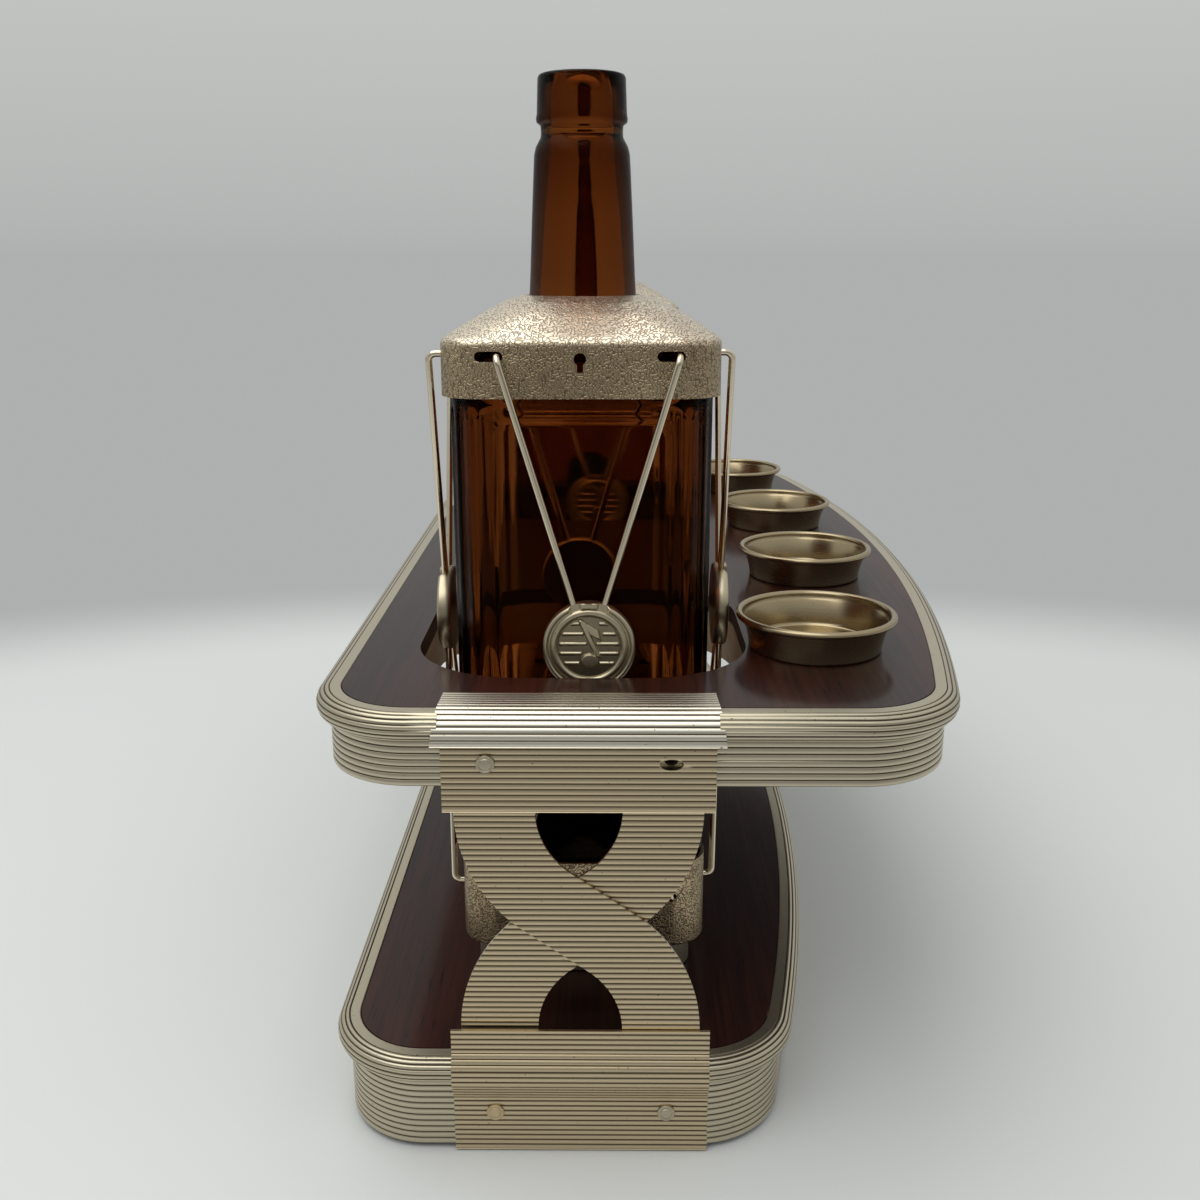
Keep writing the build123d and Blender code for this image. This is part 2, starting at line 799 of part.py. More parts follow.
def make_spring_housing():
    """The round housing of the mainspring, bored for the key's shaft."""
    with BuildPart() as spring_housing:
        with BuildSketch(level(works_bed)):
            Circle(housing_radius)
            Circle(key_shaft_radius + works_clearance, mode=Mode.SUBTRACT)
        extrude(amount=housing_height)
        fillet(spring_housing.edges().group_by(Axis.Z)[-1].sort_by(SortBy.RADIUS)[-1], radius=1)
    keep_pair(spring_housing.part, "spring_housing")


def make_winding_key():
    """A flat butterfly key on a round shaft, below the foot cap's floor."""
    wing_bottom = table_top + key_floor_gap
    with BuildPart() as winding_key:
        with BuildSketch(Plane.XZ.offset(-key_wing_sheet / 2)):
            with Locations((0, wing_bottom + key_wing_height / 2)):
                RectangleRounded(key_wing_width, key_wing_height, key_wing_height * 0.4)
        extrude(amount=key_wing_sheet)
        with BuildSketch(level(wing_bottom + key_wing_height / 2)):
            Circle(key_shaft_radius)
        extrude(amount=works_bed + housing_height - wing_bottom - key_wing_height)
    keep_pair(winding_key.part, "winding_key")


def make_music_drum():
    """The drum on its arbor, with the wheel that drives the governor at one end."""
    arbor_end = lug_face + lug_sheet
    with BuildPart() as music_drum:
        axis = Plane((0, drum_offset, drum_level), z_dir=(1, 0, 0))
        with BuildSketch(axis):
            Circle(drum_radius)
        extrude(amount=drum_length / 2, both=True)
        with BuildSketch(axis):
            Circle(arbor_radius)
        extrude(amount=arbor_end + works_clearance + wheel_sheet, both=True)
        with BuildSketch(axis.offset(arbor_end + works_clearance)):
            Circle(wheel_radius)
        extrude(amount=wheel_sheet)
    keep_pair(music_drum.part, "music_drum")


def make_music_comb():
    """The comb: a steel plate on a foot, slit into teeth that point at the drum."""
    tip = drum_offset + drum_radius + comb_gap
    with BuildPart() as music_comb:
        with BuildSketch(level(drum_level - comb_sheet / 2)):
            with Locations((0, tip + comb_depth / 2)):
                Rectangle(drum_length, comb_depth)
            with Locations((0, tip + tooth_length / 2)):
                with GridLocations(drum_length / tooth_count, 0, tooth_count - 1, 1):
                    Rectangle(tooth_gap, tooth_length, mode=Mode.SUBTRACT)
        extrude(amount=comb_sheet)
        with BuildSketch(level(works_bed)):
            with Locations((0, tip + comb_depth - comb_foot_depth / 2)):
                Rectangle(drum_length, comb_foot_depth)
        extrude(amount=drum_height)
    keep_pair(music_comb.part, "music_comb")


def make_governor():
    """The upright spindle with a worm against the drum's wheel and a two-bladed fan."""
    with BuildPart() as governor:
        centre = (governor_x, governor_y, works_floor + works_clearance)
        with BuildSketch(Plane(centre)):
            Circle(governor_shaft_radius)
        extrude(amount=governor_height)
        with BuildSketch(Plane((governor_x, governor_y, drum_level - worm_length / 2))):
            Circle(worm_radius)
        extrude(amount=worm_length)
        top = works_floor + works_clearance + governor_height
        with BuildSketch(Plane((governor_x, governor_y, top - fan_height))):
            Rectangle(fan_sheet, 2 * fan_radius)
        extrude(amount=fan_height)
    keep_pair(governor.part, "governor")


def make_stop_pin():
    """The pin that the turntable pushes up to stop the tune while the bottle stands."""
    foot = table_top + pin_gap
    with BuildPart() as stop_pin:
        with BuildSketch(Plane((pin_x, pin_y, foot))):
            Circle(pin_radius)
        extrude(amount=works_bed + pin_reach - foot)
        chamfer(stop_pin.edges().group_by(Axis.Z)[0], length=pin_radius / 3)
        with BuildSketch(Plane((pin_x, pin_y, works_bed + pin_reach / 2))):
            Circle(pin_collar_radius)
        extrude(amount=pin_radius)
    keep_pair(stop_pin.part, "stop_pin")


os.makedirs("parts", exist_ok=True)
make_top_tier()
make_base_tier()
make_felt_feet()
make_strap(band_face, -1, "rear_strap")
make_strap(front_strap_face, 1, "front_strap")
make_upper_plate()
make_hook_strip()
make_lower_sheet()
make_rivets(-1, "left", lost=(-1, upper_rivet_level))
make_rivets(1, "right")
make_cups()
make_cup_screws()
make_turntable()
make_bush()
make_foot_ring()
make_foot_cap()
make_bottle_deck()
make_glass_bottle()
make_shoulder_cap()
make_wires(upper_slot_level, upper_wire_out, "upper_wires")
make_wires(lower_slot_level, lower_wire_out, "lower_wires")
make_medallions()
make_bedplate()
make_spring_housing()
make_winding_key()
make_music_drum()
make_music_comb()
make_governor()
make_stop_pin()
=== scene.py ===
# %% [markdown]
# # A musical bar stand
#
# The stand has two D-shaped mahogany boards, edged with fluted aluminium and joined at each
# end by two crossing ribbed straps. Two square amber bottles turn in wire cages, and four
# shallow cups for glasses stand along the bow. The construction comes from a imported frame:
# this script dresses it. Every length below is in millimetres times `mm`, so in metres.

# %% Load the frame
import json
from math import asin, atan2, degrees, hypot, pi, radians, sqrt

import bmesh
import bpy
import numpy as np
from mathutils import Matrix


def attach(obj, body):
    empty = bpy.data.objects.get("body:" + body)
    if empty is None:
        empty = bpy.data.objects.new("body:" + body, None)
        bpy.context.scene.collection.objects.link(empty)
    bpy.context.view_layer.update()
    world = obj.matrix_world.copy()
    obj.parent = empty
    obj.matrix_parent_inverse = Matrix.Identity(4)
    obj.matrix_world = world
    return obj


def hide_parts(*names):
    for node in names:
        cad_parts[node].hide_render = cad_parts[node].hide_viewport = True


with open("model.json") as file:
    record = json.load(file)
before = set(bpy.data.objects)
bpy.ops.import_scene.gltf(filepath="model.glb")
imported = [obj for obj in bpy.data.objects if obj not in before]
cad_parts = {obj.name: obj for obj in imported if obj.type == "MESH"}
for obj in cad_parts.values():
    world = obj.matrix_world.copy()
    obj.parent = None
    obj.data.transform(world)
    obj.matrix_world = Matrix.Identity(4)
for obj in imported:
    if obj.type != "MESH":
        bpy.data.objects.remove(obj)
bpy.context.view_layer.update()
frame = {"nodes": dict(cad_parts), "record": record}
slots = {part["node"]: part["material_slot"] for part in frame["record"]["subparts"]}
mm = 0.001
half_length, row_y = 228.0 * mm, 30.4 * mm
deck_top, base_top = 166.0 * mm, 38.4 * mm
stations = {"left": -138.5 * mm, "right": 138.5 * mm}
same_place, fold_angle = 1e-7, 50.0  # nearer points are merged, sharper folds are crisp

# %% [markdown]
# ## Surfaces from arrays
#
# Nearly every piece here is a sheet of points worked out in one go: a function of two
# parameters on a grid, or a profile carried along a path. One helper turns such a grid into
# a mesh. It can join the last row or column to the first, and close an open end with one
# flat face, so that a tube becomes a solid. It lays a UV map along both directions, measured
# in metres, because brushed and rolled finishes follow the surface. It can also store a
# number for each point, such as how deep in a groove that point lies, for a finish to read.


# %% A grid of points becomes a mesh
def measured(points, axis):
    """Distance walked along one axis of the grid, averaged over the other axis."""
    steps = np.linalg.norm(np.diff(points, axis=axis), axis=2).mean(axis=1 - axis)
    return np.concatenate([[0.0], np.cumsum(steps)])


def lay_uv(mesh, points, ring_u, ring_v):
    """UV map of a grid: metres walked along u and v; the closing faces keep the corner 0, 0."""
    closed = np.concatenate([points, points[:1]]) if ring_u else points
    closed = np.concatenate([closed, closed[:, :1]], axis=1) if ring_v else closed
    u, v = np.meshgrid(measured(closed, 0), measured(closed, 1), indexing="ij")
    flat = np.stack([u, v], -1)
    corners = np.stack([flat[:-1, :-1], flat[1:, :-1], flat[1:, 1:], flat[:-1, 1:]], 2)
    layer = np.zeros((len(mesh.loops), 2))
    layer[: corners.size // 2] = corners.reshape(-1, 2)
    mesh.uv_layers.new(name="UVMap").data.foreach_set("uv", layer.ravel())


def outward(mesh):
    """Merge points that coincide, and turn a closed surface so that its volume is positive."""
    shape = bmesh.new()
    shape.from_mesh(mesh)
    bmesh.ops.remove_doubles(shape, verts=shape.verts, dist=same_place)
    if shape.calc_volume(signed=True) < 0:
        bmesh.ops.reverse_faces(shape, faces=shape.faces)
    shape.to_mesh(mesh)
    shape.free()


def placed(name, data):
    """A new object in the scene."""
    thing = bpy.data.objects.new(name, data)
    bpy.context.scene.collection.objects.link(thing)
    return thing


def grid_mesh(name, points, ring_u=False, ring_v=False, caps_u=False, groove=None):
    """A surface of quads over points[u, v]; ring joins last to first, caps close the ends."""
    points = np.asarray(points, float)
    rows, columns = points.shape[:2]
    index = np.arange(rows * columns).reshape(rows, columns)
    across = np.concatenate([index, index[:1]]) if ring_u else index
    across = np.concatenate([across, across[:, :1]], axis=1) if ring_v else across
    quads = np.stack([across[:-1, :-1], across[1:, :-1], across[1:, 1:], across[:-1, 1:]], -1)
    faces = quads.reshape(-1, 4).tolist()
    faces += [index[0].tolist(), index[-1, ::-1].tolist()] if caps_u else []
    mesh = bpy.data.meshes.new(name)
    mesh.from_pydata(points.reshape(-1, 3), [], faces)
    lay_uv(mesh, points, ring_u, ring_v)
    if groove is not None:
        depth = np.broadcast_to(groove, (rows, columns)).astype(np.float32)
        mesh.attributes.new("groove", "FLOAT", "POINT").data.foreach_set("value", depth.ravel())
    outward(mesh)
    mesh.shade_smooth()
    return placed(name, mesh)


def joined(name, pieces):
    """Several meshes as one piece; each is used up."""
    first = pieces[0]
    chosen = {"selected_editable_objects": pieces, "selected_objects": pieces}
    with bpy.context.temp_override(active_object=first, object=first, **chosen):
        bpy.ops.object.join()
    first.name = first.data.name = name
    return first


def crease(piece, angle=35.0):
    """Smooth shading that breaks at folds sharper than an angle in degrees."""
    folds = piece.modifiers.new("folds", "EDGE_SPLIT")
    folds.split_angle = radians(angle)
    folds.use_edge_sharp = False
    return piece


def move_points(mesh, scale, shift):
    """Every point of a mesh becomes point * scale + shift."""
    flat = np.empty(len(mesh.vertices) * 3)
    mesh.vertices.foreach_get("co", flat)
    mesh.vertices.foreach_set("co", (flat.reshape(-1, 3) * scale + shift).ravel())


def far_end(piece, name):
    """A copy turned half round about the row's middle, for the right end of the stand."""
    twin = piece.copy()
    twin.data = piece.data.copy()
    twin.name = twin.data.name = name
    move_points(twin.data, [-1.0, -1.0, 1.0], [0.0, 2.0 * row_y, 0.0])
    bpy.context.scene.collection.objects.link(twin)
    return twin


# %% [markdown]
# ## Lines and profiles
#
# A profile is a line in a flat plane. Three small helpers are enough for all of them: an arc,
# a chain of runs whose corners are rounded, and a line re-spaced evenly, which also gives the
# direction out of it and the distance walked. Flutes and ribs are then a wave along that
# distance: broad rounded crests with narrow grooves between them.


# %% Arcs, rounded corners, even spacing and flutes
def arc(centre, radius, start, end, steps):
    """Points on a circle between two angles in degrees: centre + radius (cos, sin)."""
    angle = np.radians(np.linspace(start, end, steps))
    return np.stack([centre[0] + radius * np.cos(angle), centre[1] + radius * np.sin(angle)], 1)


def rounded(points, radius, steps=7):
    """A chain of runs whose inner corners are arcs.

    Each arc starts radius * tan(turn / 2) before its corner.
    """
    points = [np.array(point, float) for point in points]
    parts = [points[:1]]
    for before, corner, after in zip(points, points[1:], points[2:]):
        come = (corner - before) / np.linalg.norm(corner - before)
        leave = (after - corner) / np.linalg.norm(after - corner)
        turn = atan2(come[0] * leave[1] - come[1] * leave[0], come @ leave)
        start = corner - come * radius * np.tan(abs(turn) / 2)
        side = np.sign(turn) * np.array([-come[1], come[0]])
        swing = np.linspace(0.0, abs(turn), steps)[:, None]
        parts.append(start + radius * (side * (1 - np.cos(swing)) + come * np.sin(swing)))
    parts.append(points[-1:])
    return np.concatenate(parts)


def walked(line, step):
    """A line spaced evenly: its points, the unit directions to its left, and the way walked."""
    length = np.concatenate([[0.0], np.cumsum(np.linalg.norm(np.diff(line, axis=0), axis=1))])
    walk = np.linspace(0.0, length[-1], int(round(length[-1] / step)) + 1)
    even = np.stack([np.interp(walk, length, line[:, axis]) for axis in (0, 1)], 1)
    along = np.gradient(even, axis=0)
    along /= np.linalg.norm(along, axis=1)[:, None]
    return even, np.stack([-along[:, 1], along[:, 0]], 1), walk


def flutes(walk, pitch, sharp):
    """How deep in a groove a place lies, from 0 to 1: 1 - |sin(pi walk / pitch)| ^ sharp."""
    return 1.0 - np.abs(np.sin(pi * walk / pitch)) ** sharp


def spun(radius, height, steps):
    """A profile turned about the upright axis: (r cos a, r sin a, h) over angle and profile."""
    angle = np.linspace(0.0, 2 * pi, steps, endpoint=False)[:, None]
    radius, height = np.asarray(radius)[None, :], np.asarray(height)[None, :]
    return np.stack([radius * np.cos(angle), radius * np.sin(angle), height + 0 * angle], -1)


# %% [markdown]
# ## Writing shaders as formulas
#
# A finish is easier to read as a formula than as a web of nodes. `Value` wraps one socket
# and turns +, -, * and ** with numbers or other values into Math nodes. `Tree` makes any
# other node, with its settings first and the values or links of its sockets next. `Finish`
# is a material under construction. Numbers that are the same everywhere go straight into
# the shader's own sockets.


# %% Values, trees and finishes
class Value:
    """A socket in a node tree that can be used in Python arithmetic."""

    def __init__(self, tree, socket):
        self.tree = tree
        self.socket = socket

    def math(self, operation, first, second=0.0):
        return self.tree.add("ShaderNodeMath", {"operation": operation}, {0: first, 1: second})

    def __add__(self, other):
        return self.math("ADD", self, other)

    def __radd__(self, other):
        return self.math("ADD", other, self)

    def __sub__(self, other):
        return self.math("SUBTRACT", self, other)

    def __rsub__(self, other):
        return self.math("SUBTRACT", other, self)

    def __mul__(self, other):
        return self.math("MULTIPLY", self, other)

    def __pow__(self, other):
        return self.math("POWER", self, other)

    def __abs__(self):
        return self.math("ABSOLUTE", self)

    def between(self, low, high):
        """0 below low, 1 above high, and a smooth rise between them."""
        sockets = {"Value": self, "From Min": low, "From Max": high}
        return self.tree.add("ShaderNodeMapRange", {"interpolation_type": "SMOOTHSTEP"}, sockets)


class Tree:
    """A node tree being wired."""

    def __init__(self, tree):
        self.nodes = tree.nodes
        self.links = tree.links

    def add(self, kind, settings=None, sockets=None, out=0):
        """Make a node, give it its settings, then set or link its sockets."""
        node = self.nodes.new(kind)
        for key, value in (settings or {}).items():
            setattr(node, key, value)
        for key, value in (sockets or {}).items():
            self.connect(node.inputs[key], value)
        return Value(self, node.outputs[out])

    def connect(self, socket, value):
        if isinstance(value, Value):
            self.links.new(value.socket, socket)
        else:
            socket.default_value = value

    def place(self, stretch=(1.0, 1.0, 1.0), source="Object"):
        """Coordinates on the piece, in metres, stretched."""
        where = self.add("ShaderNodeTexCoord", out=source)
        return self.add("ShaderNodeMapping", None, {"Vector": where, "Scale": stretch})

    def part(self, where, axis):
        """One coordinate of a place: 0 is x, 1 is y and 2 is z."""
        return self.add("ShaderNodeSeparateXYZ", None, {0: where}, out=axis)

    def noise(self, where, scale, detail=3.0, roughness=0.5):
        sockets = {"Vector": where, "Scale": scale, "Detail": detail, "Roughness": roughness}
        return self.add("ShaderNodeTexNoise", None, sockets)

    def mark(self, name):
        """A number stored on the piece's points."""
        return self.add("ShaderNodeAttribute", {"attribute_name": name}, out="Fac")

    def blend(self, share, first, second):
        """A colour between two others."""
        first = first if isinstance(first, Value) else (*first, 1.0)
        second = second if isinstance(second, Value) else (*second, 1.0)
        sockets = {0: share, 6: first, 7: second}
        return self.add("ShaderNodeMix", {"data_type": "RGBA"}, sockets, out=2)


class Finish(Tree):
    """A material being mixed: its node tree and its Principled shader."""

    def __init__(self, name, **constants):
        self.material = bpy.data.materials.new(name)
        self.material.use_nodes = True
        super().__init__(self.material.node_tree)
        self.shader = self.nodes["Principled BSDF"]
        for key, value in constants.items():
            self.shader.inputs[key.replace("_", " ")].default_value = value

    def bump(self, height, depth):
        """Tilt the surface by a height from 0 to 1 that stands for a depth in metres."""
        sockets = {"Height": height, "Distance": depth, "Strength": 1.0}
        self.connect(self.shader.inputs["Normal"], self.add("ShaderNodeBump", None, sockets))

    def mix(self, share, other):
        """Send the Principled shader, with a share of another one, to the surface."""
        sockets = {0: share, 1: Value(self, self.shader.outputs[0]), 2: other}
        surface = self.nodes["Material Output"].inputs["Surface"]
        self.connect(surface, self.add("ShaderNodeMixShader", None, sockets))

    def paint(self, **fields):
        """Connect fields to the shader: paint(Base_Color=..., Roughness=...)."""
        for key, value in fields.items():
            self.connect(self.shader.inputs[key.replace("_", " ")], value)
        return self.material


finishes = {}


def fit(piece, body, slot, *nodes, finish=None):
    """Give a piece its finish, let it ride on a body, and let it stand for CAD nodes."""
    piece.data.materials.clear()
    piece.data.materials.append(finish or finishes[slot])
    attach(piece, body)
    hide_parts(*nodes)
    return piece


# %% [markdown]
# ## Camera, room and floor
#
# The stand is looked at from its left end, from a little above, as someone pouring a drink
# sees it. The room is a soft overcast: dim grey level with the eye and brighter towards the
# zenith, so that upright metal looks darker than metal that faces up. The wall behind the
# eye is darker still, and a softbox hangs over the stand. The floor is pale, and bright only
# inside a broad oval, a painted pool of light: outside the oval it fades into a painted glow
# of the room's own grey, so that no edge shows.

# %% Camera
looks_down, rolls, looks_left = 15.65, 0.07, 0.48
camera_data = bpy.data.cameras.new("eye")
camera_data.lens = 36.93
camera = placed("eye", camera_data)
camera.location = (-602.0 * mm, 20.2 * mm, 306.8 * mm)
camera.rotation_euler = (radians(90.0 - looks_down), radians(rolls), radians(-90.0 + looks_left))
bpy.context.scene.camera = camera
bpy.context.scene.view_settings.view_transform = "Standard"

# %% Room and softbox
eye_level, zenith, dark_wall = (0.425, 0.435, 0.430), (0.80, 0.81, 0.79), (0.10, 0.10, 0.10)
world = bpy.data.worlds.new("room")
bpy.context.scene.world = world
world.use_nodes = True
room = Tree(world.node_tree)
toward = room.add("ShaderNodeTexCoord", out="Generated")
along, rise = room.part(toward, 0), room.part(toward, 2)
climb = rise.math("MAXIMUM", rise, 0.0) ** 0.7
sky = room.blend(climb, eye_level, zenith)
shade = (0.0 - along).between(0.1, 0.9) * (0.55 - rise).between(0.0, 0.45) * 0.75
room.connect(room.nodes["Background"].inputs["Color"], room.blend(shade, sky, dark_wall))

lamp_data = bpy.data.lights.new("softbox", "AREA")
lamp_data.shape = "RECTANGLE"
lamp_data.size, lamp_data.size_y = 1.5, 1.0
lamp_data.energy = 7.2
lamp = placed("softbox", lamp_data)
lamp.location = (-0.30, 0.33, 1.15)
lamp.rotation_euler = (radians(-15.0), radians(-14.0), 0.0)

# %% Floor
floor_radius, light_pool_along, light_pool_across = 4.0, 0.46, 0.80
rings = np.linspace(0.0, 1.0, 40) ** 2
angles = np.linspace(0.0, 2 * pi, 96, endpoint=False)
spread = [np.outer(np.cos(angles), rings), np.outer(np.sin(angles), rings), np.zeros((96, 40))]
floor = grid_mesh("floor", floor_radius * np.stack(spread, -1), ring_u=True)
table = Finish("floor_light_pool", Roughness=0.55)
# Painted light: inside the oval the lamps light the floor. Outside it the floor is a painted glow of the
# room's grey, so the oval reads as a painted pool of light.
spot = table.place((1 / light_pool_along, 1 / light_pool_across, 1.0))
reach = table.add("ShaderNodeVectorMath", {"operation": "LENGTH"}, {0: spot}, out="Value")
edge = reach.between(0.80, 1.25)
mottle = table.noise(table.place(), 3.0, 2.0)
table.paint(Base_Color=table.blend(mottle, (0.69, 0.705, 0.70), (0.72, 0.735, 0.73)))
table.mix(edge, table.add("ShaderNodeEmission", None, {"Color": (*eye_level, 1.0)}))
floor.data.materials.append(table.material)
if floor.data.polygons[0].normal.z < 0:
    floor.data.flip_normals()

# %% [markdown]
# ## Finishes
#
# The boards are mahogany, stained almost black and lacquered: a dark grained wood colour
# under a clear coat. In the holes for the bottles the stain runs a little way down, and
# the sawn wood below it is raw, painted paler still as painted light for the light that
# falls in through the glass. The metals that show are aluminium, anodised in shades of
# champagne. They differ in how they were worked: drawn with flutes, rolled with ribs,
# pressed with a worm pattern, spun or drawn to wire. Each is a metal whose roughness varies
# along the way that it was worked, with a little tarnish all over, painted shade in its
# grooves and a few dark specks.


# %% Mahogany under lacquer
def mix_mahogany():
    """Lacquered wood; the upright faces near a bottle's axis are sawn, and raw below the stain, the raw wood
    painted paler as painted light.
    """
    hole_reach, stained_to = 70.0 * mm, 157.5 * mm
    wood = Finish("mahogany", Roughness=0.5, Specular_IOR_Level=0.1, Coat_Roughness=0.14)
    figure = wood.noise(wood.place((2.0, 14.0, 14.0)), 1.6, 4.0, 0.55)
    grain = wood.noise(wood.place((14.0, 420.0, 420.0)), 1.0, 4.0, 0.6)
    pores = wood.noise(wood.place((60.0, 900.0, 900.0)), 1.0, 2.0, 0.5)
    tone = (figure * 0.6 + grain * 0.4).between(0.36, 0.66)
    heart = wood.blend(tone, (0.0105, 0.0022, 0.0018), (0.044, 0.0105, 0.0055))
    open_pores = pores.between(0.60, 0.72)
    wood.bump(grain * 0.5 - open_pores * 0.5, 0.00006)
    where, facing = wood.place(), wood.add("ShaderNodeTexCoord", out="Normal")
    upright = 1.0 - abs(wood.part(facing, 2)).between(0.2, 0.7)
    beside = abs(abs(wood.part(where, 0)) - stations["right"])
    behind = abs(wood.part(where, 1) - row_y)
    reach = beside.math("MAXIMUM", beside, behind)
    sawn = upright * (hole_reach - reach).between(0.0, 2.0 * mm)
    lacquered = wood.blend(open_pores * 0.7, heart, (0.004, 0.0015, 0.0012))
    # Painted light: the raw sawn wood is painted paler than it is, for the light that falls in through the
    # glass.
    raw_wood_and_painted_light = wood.blend(grain, (0.60, 0.44, 0.27), (0.82, 0.66, 0.46))
    below = stained_to + figure * (4.0 * mm) - wood.part(where, 2)
    edge = wood.blend(below.between(0.0, 1.2 * mm), (0.060, 0.026, 0.014), raw_wood_and_painted_light)
    colour = wood.blend(sawn, lacquered, edge)
    return wood.paint(Base_Color=colour, Coat_Weight=0.42 - sawn * 0.40)


finishes["mahogany"] = mix_mahogany()


# %% Worked aluminium
def mix_aluminium(name, light, tarnish_and_shade_tone, rough, soil, brush=None):
    """Champagne metal: fine streaks, dark specks, and painted shade in its grooves.

    The share of the dark tone is soil outside the grooves, a tarnish all over, and 0.8 more at their bottom
    as painted shade. The streaks follow the UV map, or a stretch of the piece's own coordinates if brush
    gives one.
    """
    metal = Finish(name, Metallic=1.0)
    way = metal.place(brush) if brush else metal.place((30.0, 2600.0, 1.0), "UV")
    streaks = metal.noise(way, 1.0, 3.0, 0.6)
    cloud = metal.noise(metal.place((16.0, 16.0, 16.0)), 1.0, 4.0, 0.6)
    specks = metal.noise(metal.place((900.0, 900.0, 900.0)), 1.0, 1.0, 0.4).between(0.745, 0.80)
    groove = metal.mark("groove").between(0.12, 0.75)
    # Painted shade: the grooves are darkened towards the dark tone, over the tarnish that soil gives
    # everywhere.
    colour = metal.blend(groove * 0.8 + soil, light, tarnish_and_shade_tone)
    metal.bump(streaks, 0.000012)
    spotted = metal.blend(specks * 0.8, colour, (0.09, 0.07, 0.045))
    roughness = rough + streaks * 0.10 + groove * 0.16 + cloud * 0.06
    return metal.paint(Base_Color=spotted, Roughness=roughness)


worked_metals = {
    "edge_trim": ("fluted_trim", (0.72, 0.65, 0.49), (0.085, 0.065, 0.04), 0.24, 0.275),
    "ribbed_sheet": ("ribbed_sheet", (0.76, 0.63, 0.425), (0.085, 0.06, 0.032), 0.24, 0.275),
    # The hook strip is the brackets' ribbed sheet painted paler: painted light where it turns up towards the
    # softbox.
    "hook_sheet_painted_light": ("hook_sheet_painted_light", (0.96, 0.90, 0.76), (0.075, 0.058, 0.036), 0.20, 0.245),
    "cup_metal": ("spun_cups", (0.46, 0.375, 0.235), (0.20, 0.15, 0.09), 0.18, 0.29),
    "medallion_metal": ("struck_medallions", (0.60, 0.53, 0.38), (0.16, 0.12, 0.075), 0.22, 0.23),
    "rivet_metal": ("rivets", (0.58, 0.52, 0.40), (0.22, 0.18, 0.12), 0.34, 0.29, (400.0, 400.0, 400.0)),
    "cage_wire": ("cage_wire", (0.82, 0.73, 0.56), (0.36, 0.29, 0.18), 0.05, 0.26, (300.0, 300.0, 60.0)),
    "cage_metal": ("foot_rings", (0.60, 0.53, 0.39), (0.28, 0.23, 0.15), 0.30, 0.275, (60.0, 60.0, 1500.0)),
    "works_steel": ("works_steel", (0.56, 0.57, 0.58), (0.30, 0.30, 0.30), 0.28, 0.26, (900.0, 60.0, 60.0)),
    "screw_steel": ("screw_steel", (0.60, 0.58, 0.54), (0.28, 0.26, 0.24), 0.28, 0.26, (600.0, 600.0, 60.0)),
    "turntable_steel": (
        "turntable_steel", (0.52, 0.52, 0.51), (0.26, 0.25, 0.24), 0.32, 0.29, (90.0, 1200.0, 90.0),
    ),
    "brass": ("brass", (0.78, 0.57, 0.24), (0.38, 0.24, 0.09), 0.26, 0.26, (90.0, 900.0, 90.0)),
}
for key, row in worked_metals.items():
    finishes[key] = mix_aluminium(*row)


# %% Pressed worm pattern
def mix_hammered():
    """Worms are lines where one octave of noise is near its middle, so they wind.

    The crown is painted paler than the walls below it: painted light on the top and painted shade on the
    walls.
    """
    metal = Finish("pressed_worms", Metallic=1.0)
    where = metal.place()
    # Painted light and shade: above this height the crown takes a paler colour, and the walls below take a
    # darker one.
    crown = metal.part(where, 2).between(276.5 * mm, 281.0 * mm)
    worms = 1.0 - abs(metal.noise(where, 840.0, 0.0, 0.0) - 0.5).between(0.03, 0.12)
    cloud = metal.noise(where, 18.0, 4.0, 0.6).between(0.40, 0.72)
    fine = metal.noise(where, 2600.0, 2.0)
    metal.bump(1.0 - worms + fine * 0.10, 0.00013)
    lit_crown_colour = metal.blend(cloud, (0.92, 0.81, 0.64), (0.78, 0.64, 0.49))
    shaded_wall_colour = metal.blend(cloud, (0.50, 0.39, 0.25), (0.36, 0.275, 0.17))
    face = metal.blend(crown, shaded_wall_colour, lit_crown_colour)
    colour = metal.blend(worms * 0.62, face, (0.060, 0.042, 0.024))
    return metal.paint(Base_Color=colour, Roughness=0.24 + worms * 0.14 + fine * 0.08)


finishes["hammered_metal"] = mix_hammered()


# %% Amber glass and felt
def mix_amber():
    """Clear brown glass: light is tinted at each face that it crosses and between them.

    A smooth refraction is mixed in, so that only part of the light is bent by the ripples.
    """
    glass = Finish("amber_glass", Roughness=0.03, IOR=1.5, Transmission_Weight=1.0)
    glass.paint(Specular_Tint=(0.20, 0.13, 0.08, 1.0))
    streaks = glass.noise(glass.place((30.0, 30.0, 3.0)), 1.0, 2.0)
    ripple = glass.noise(glass.place((60.0, 60.0, 14.0)), 1.0, 1.0)
    glass.bump(ripple, 0.00040)
    tint = {"Color": (0.49, 0.25, 0.07, 1.0), "Density": 300.0}
    depth = glass.add("ShaderNodeVolumeAbsorption", None, tint)
    glass.connect(glass.nodes["Material Output"].inputs["Volume"], depth)
    glass.paint(Base_Color=glass.blend(streaks, (0.78, 0.51, 0.27), (0.86, 0.60, 0.34)))
    smooth = {"Color": (0.905, 0.755, 0.552, 1.0), "Roughness": 0.03, "IOR": 1.5}
    glass.mix(0.6, glass.add("ShaderNodeBsdfRefraction", None, smooth))
    return glass.material


def mix_felt():
    felt = Finish("felt", Roughness=0.95)
    fibres = felt.noise(felt.place(), 900.0, 4.0, 0.7)
    felt.bump(fibres, 0.0003)
    return felt.paint(Base_Color=felt.blend(fibres, (0.010, 0.030, 0.014), (0.030, 0.075, 0.035)))


finishes["amber_glass"] = mix_amber()
finishes["felt"] = mix_felt()
print("finishes", len(finishes))

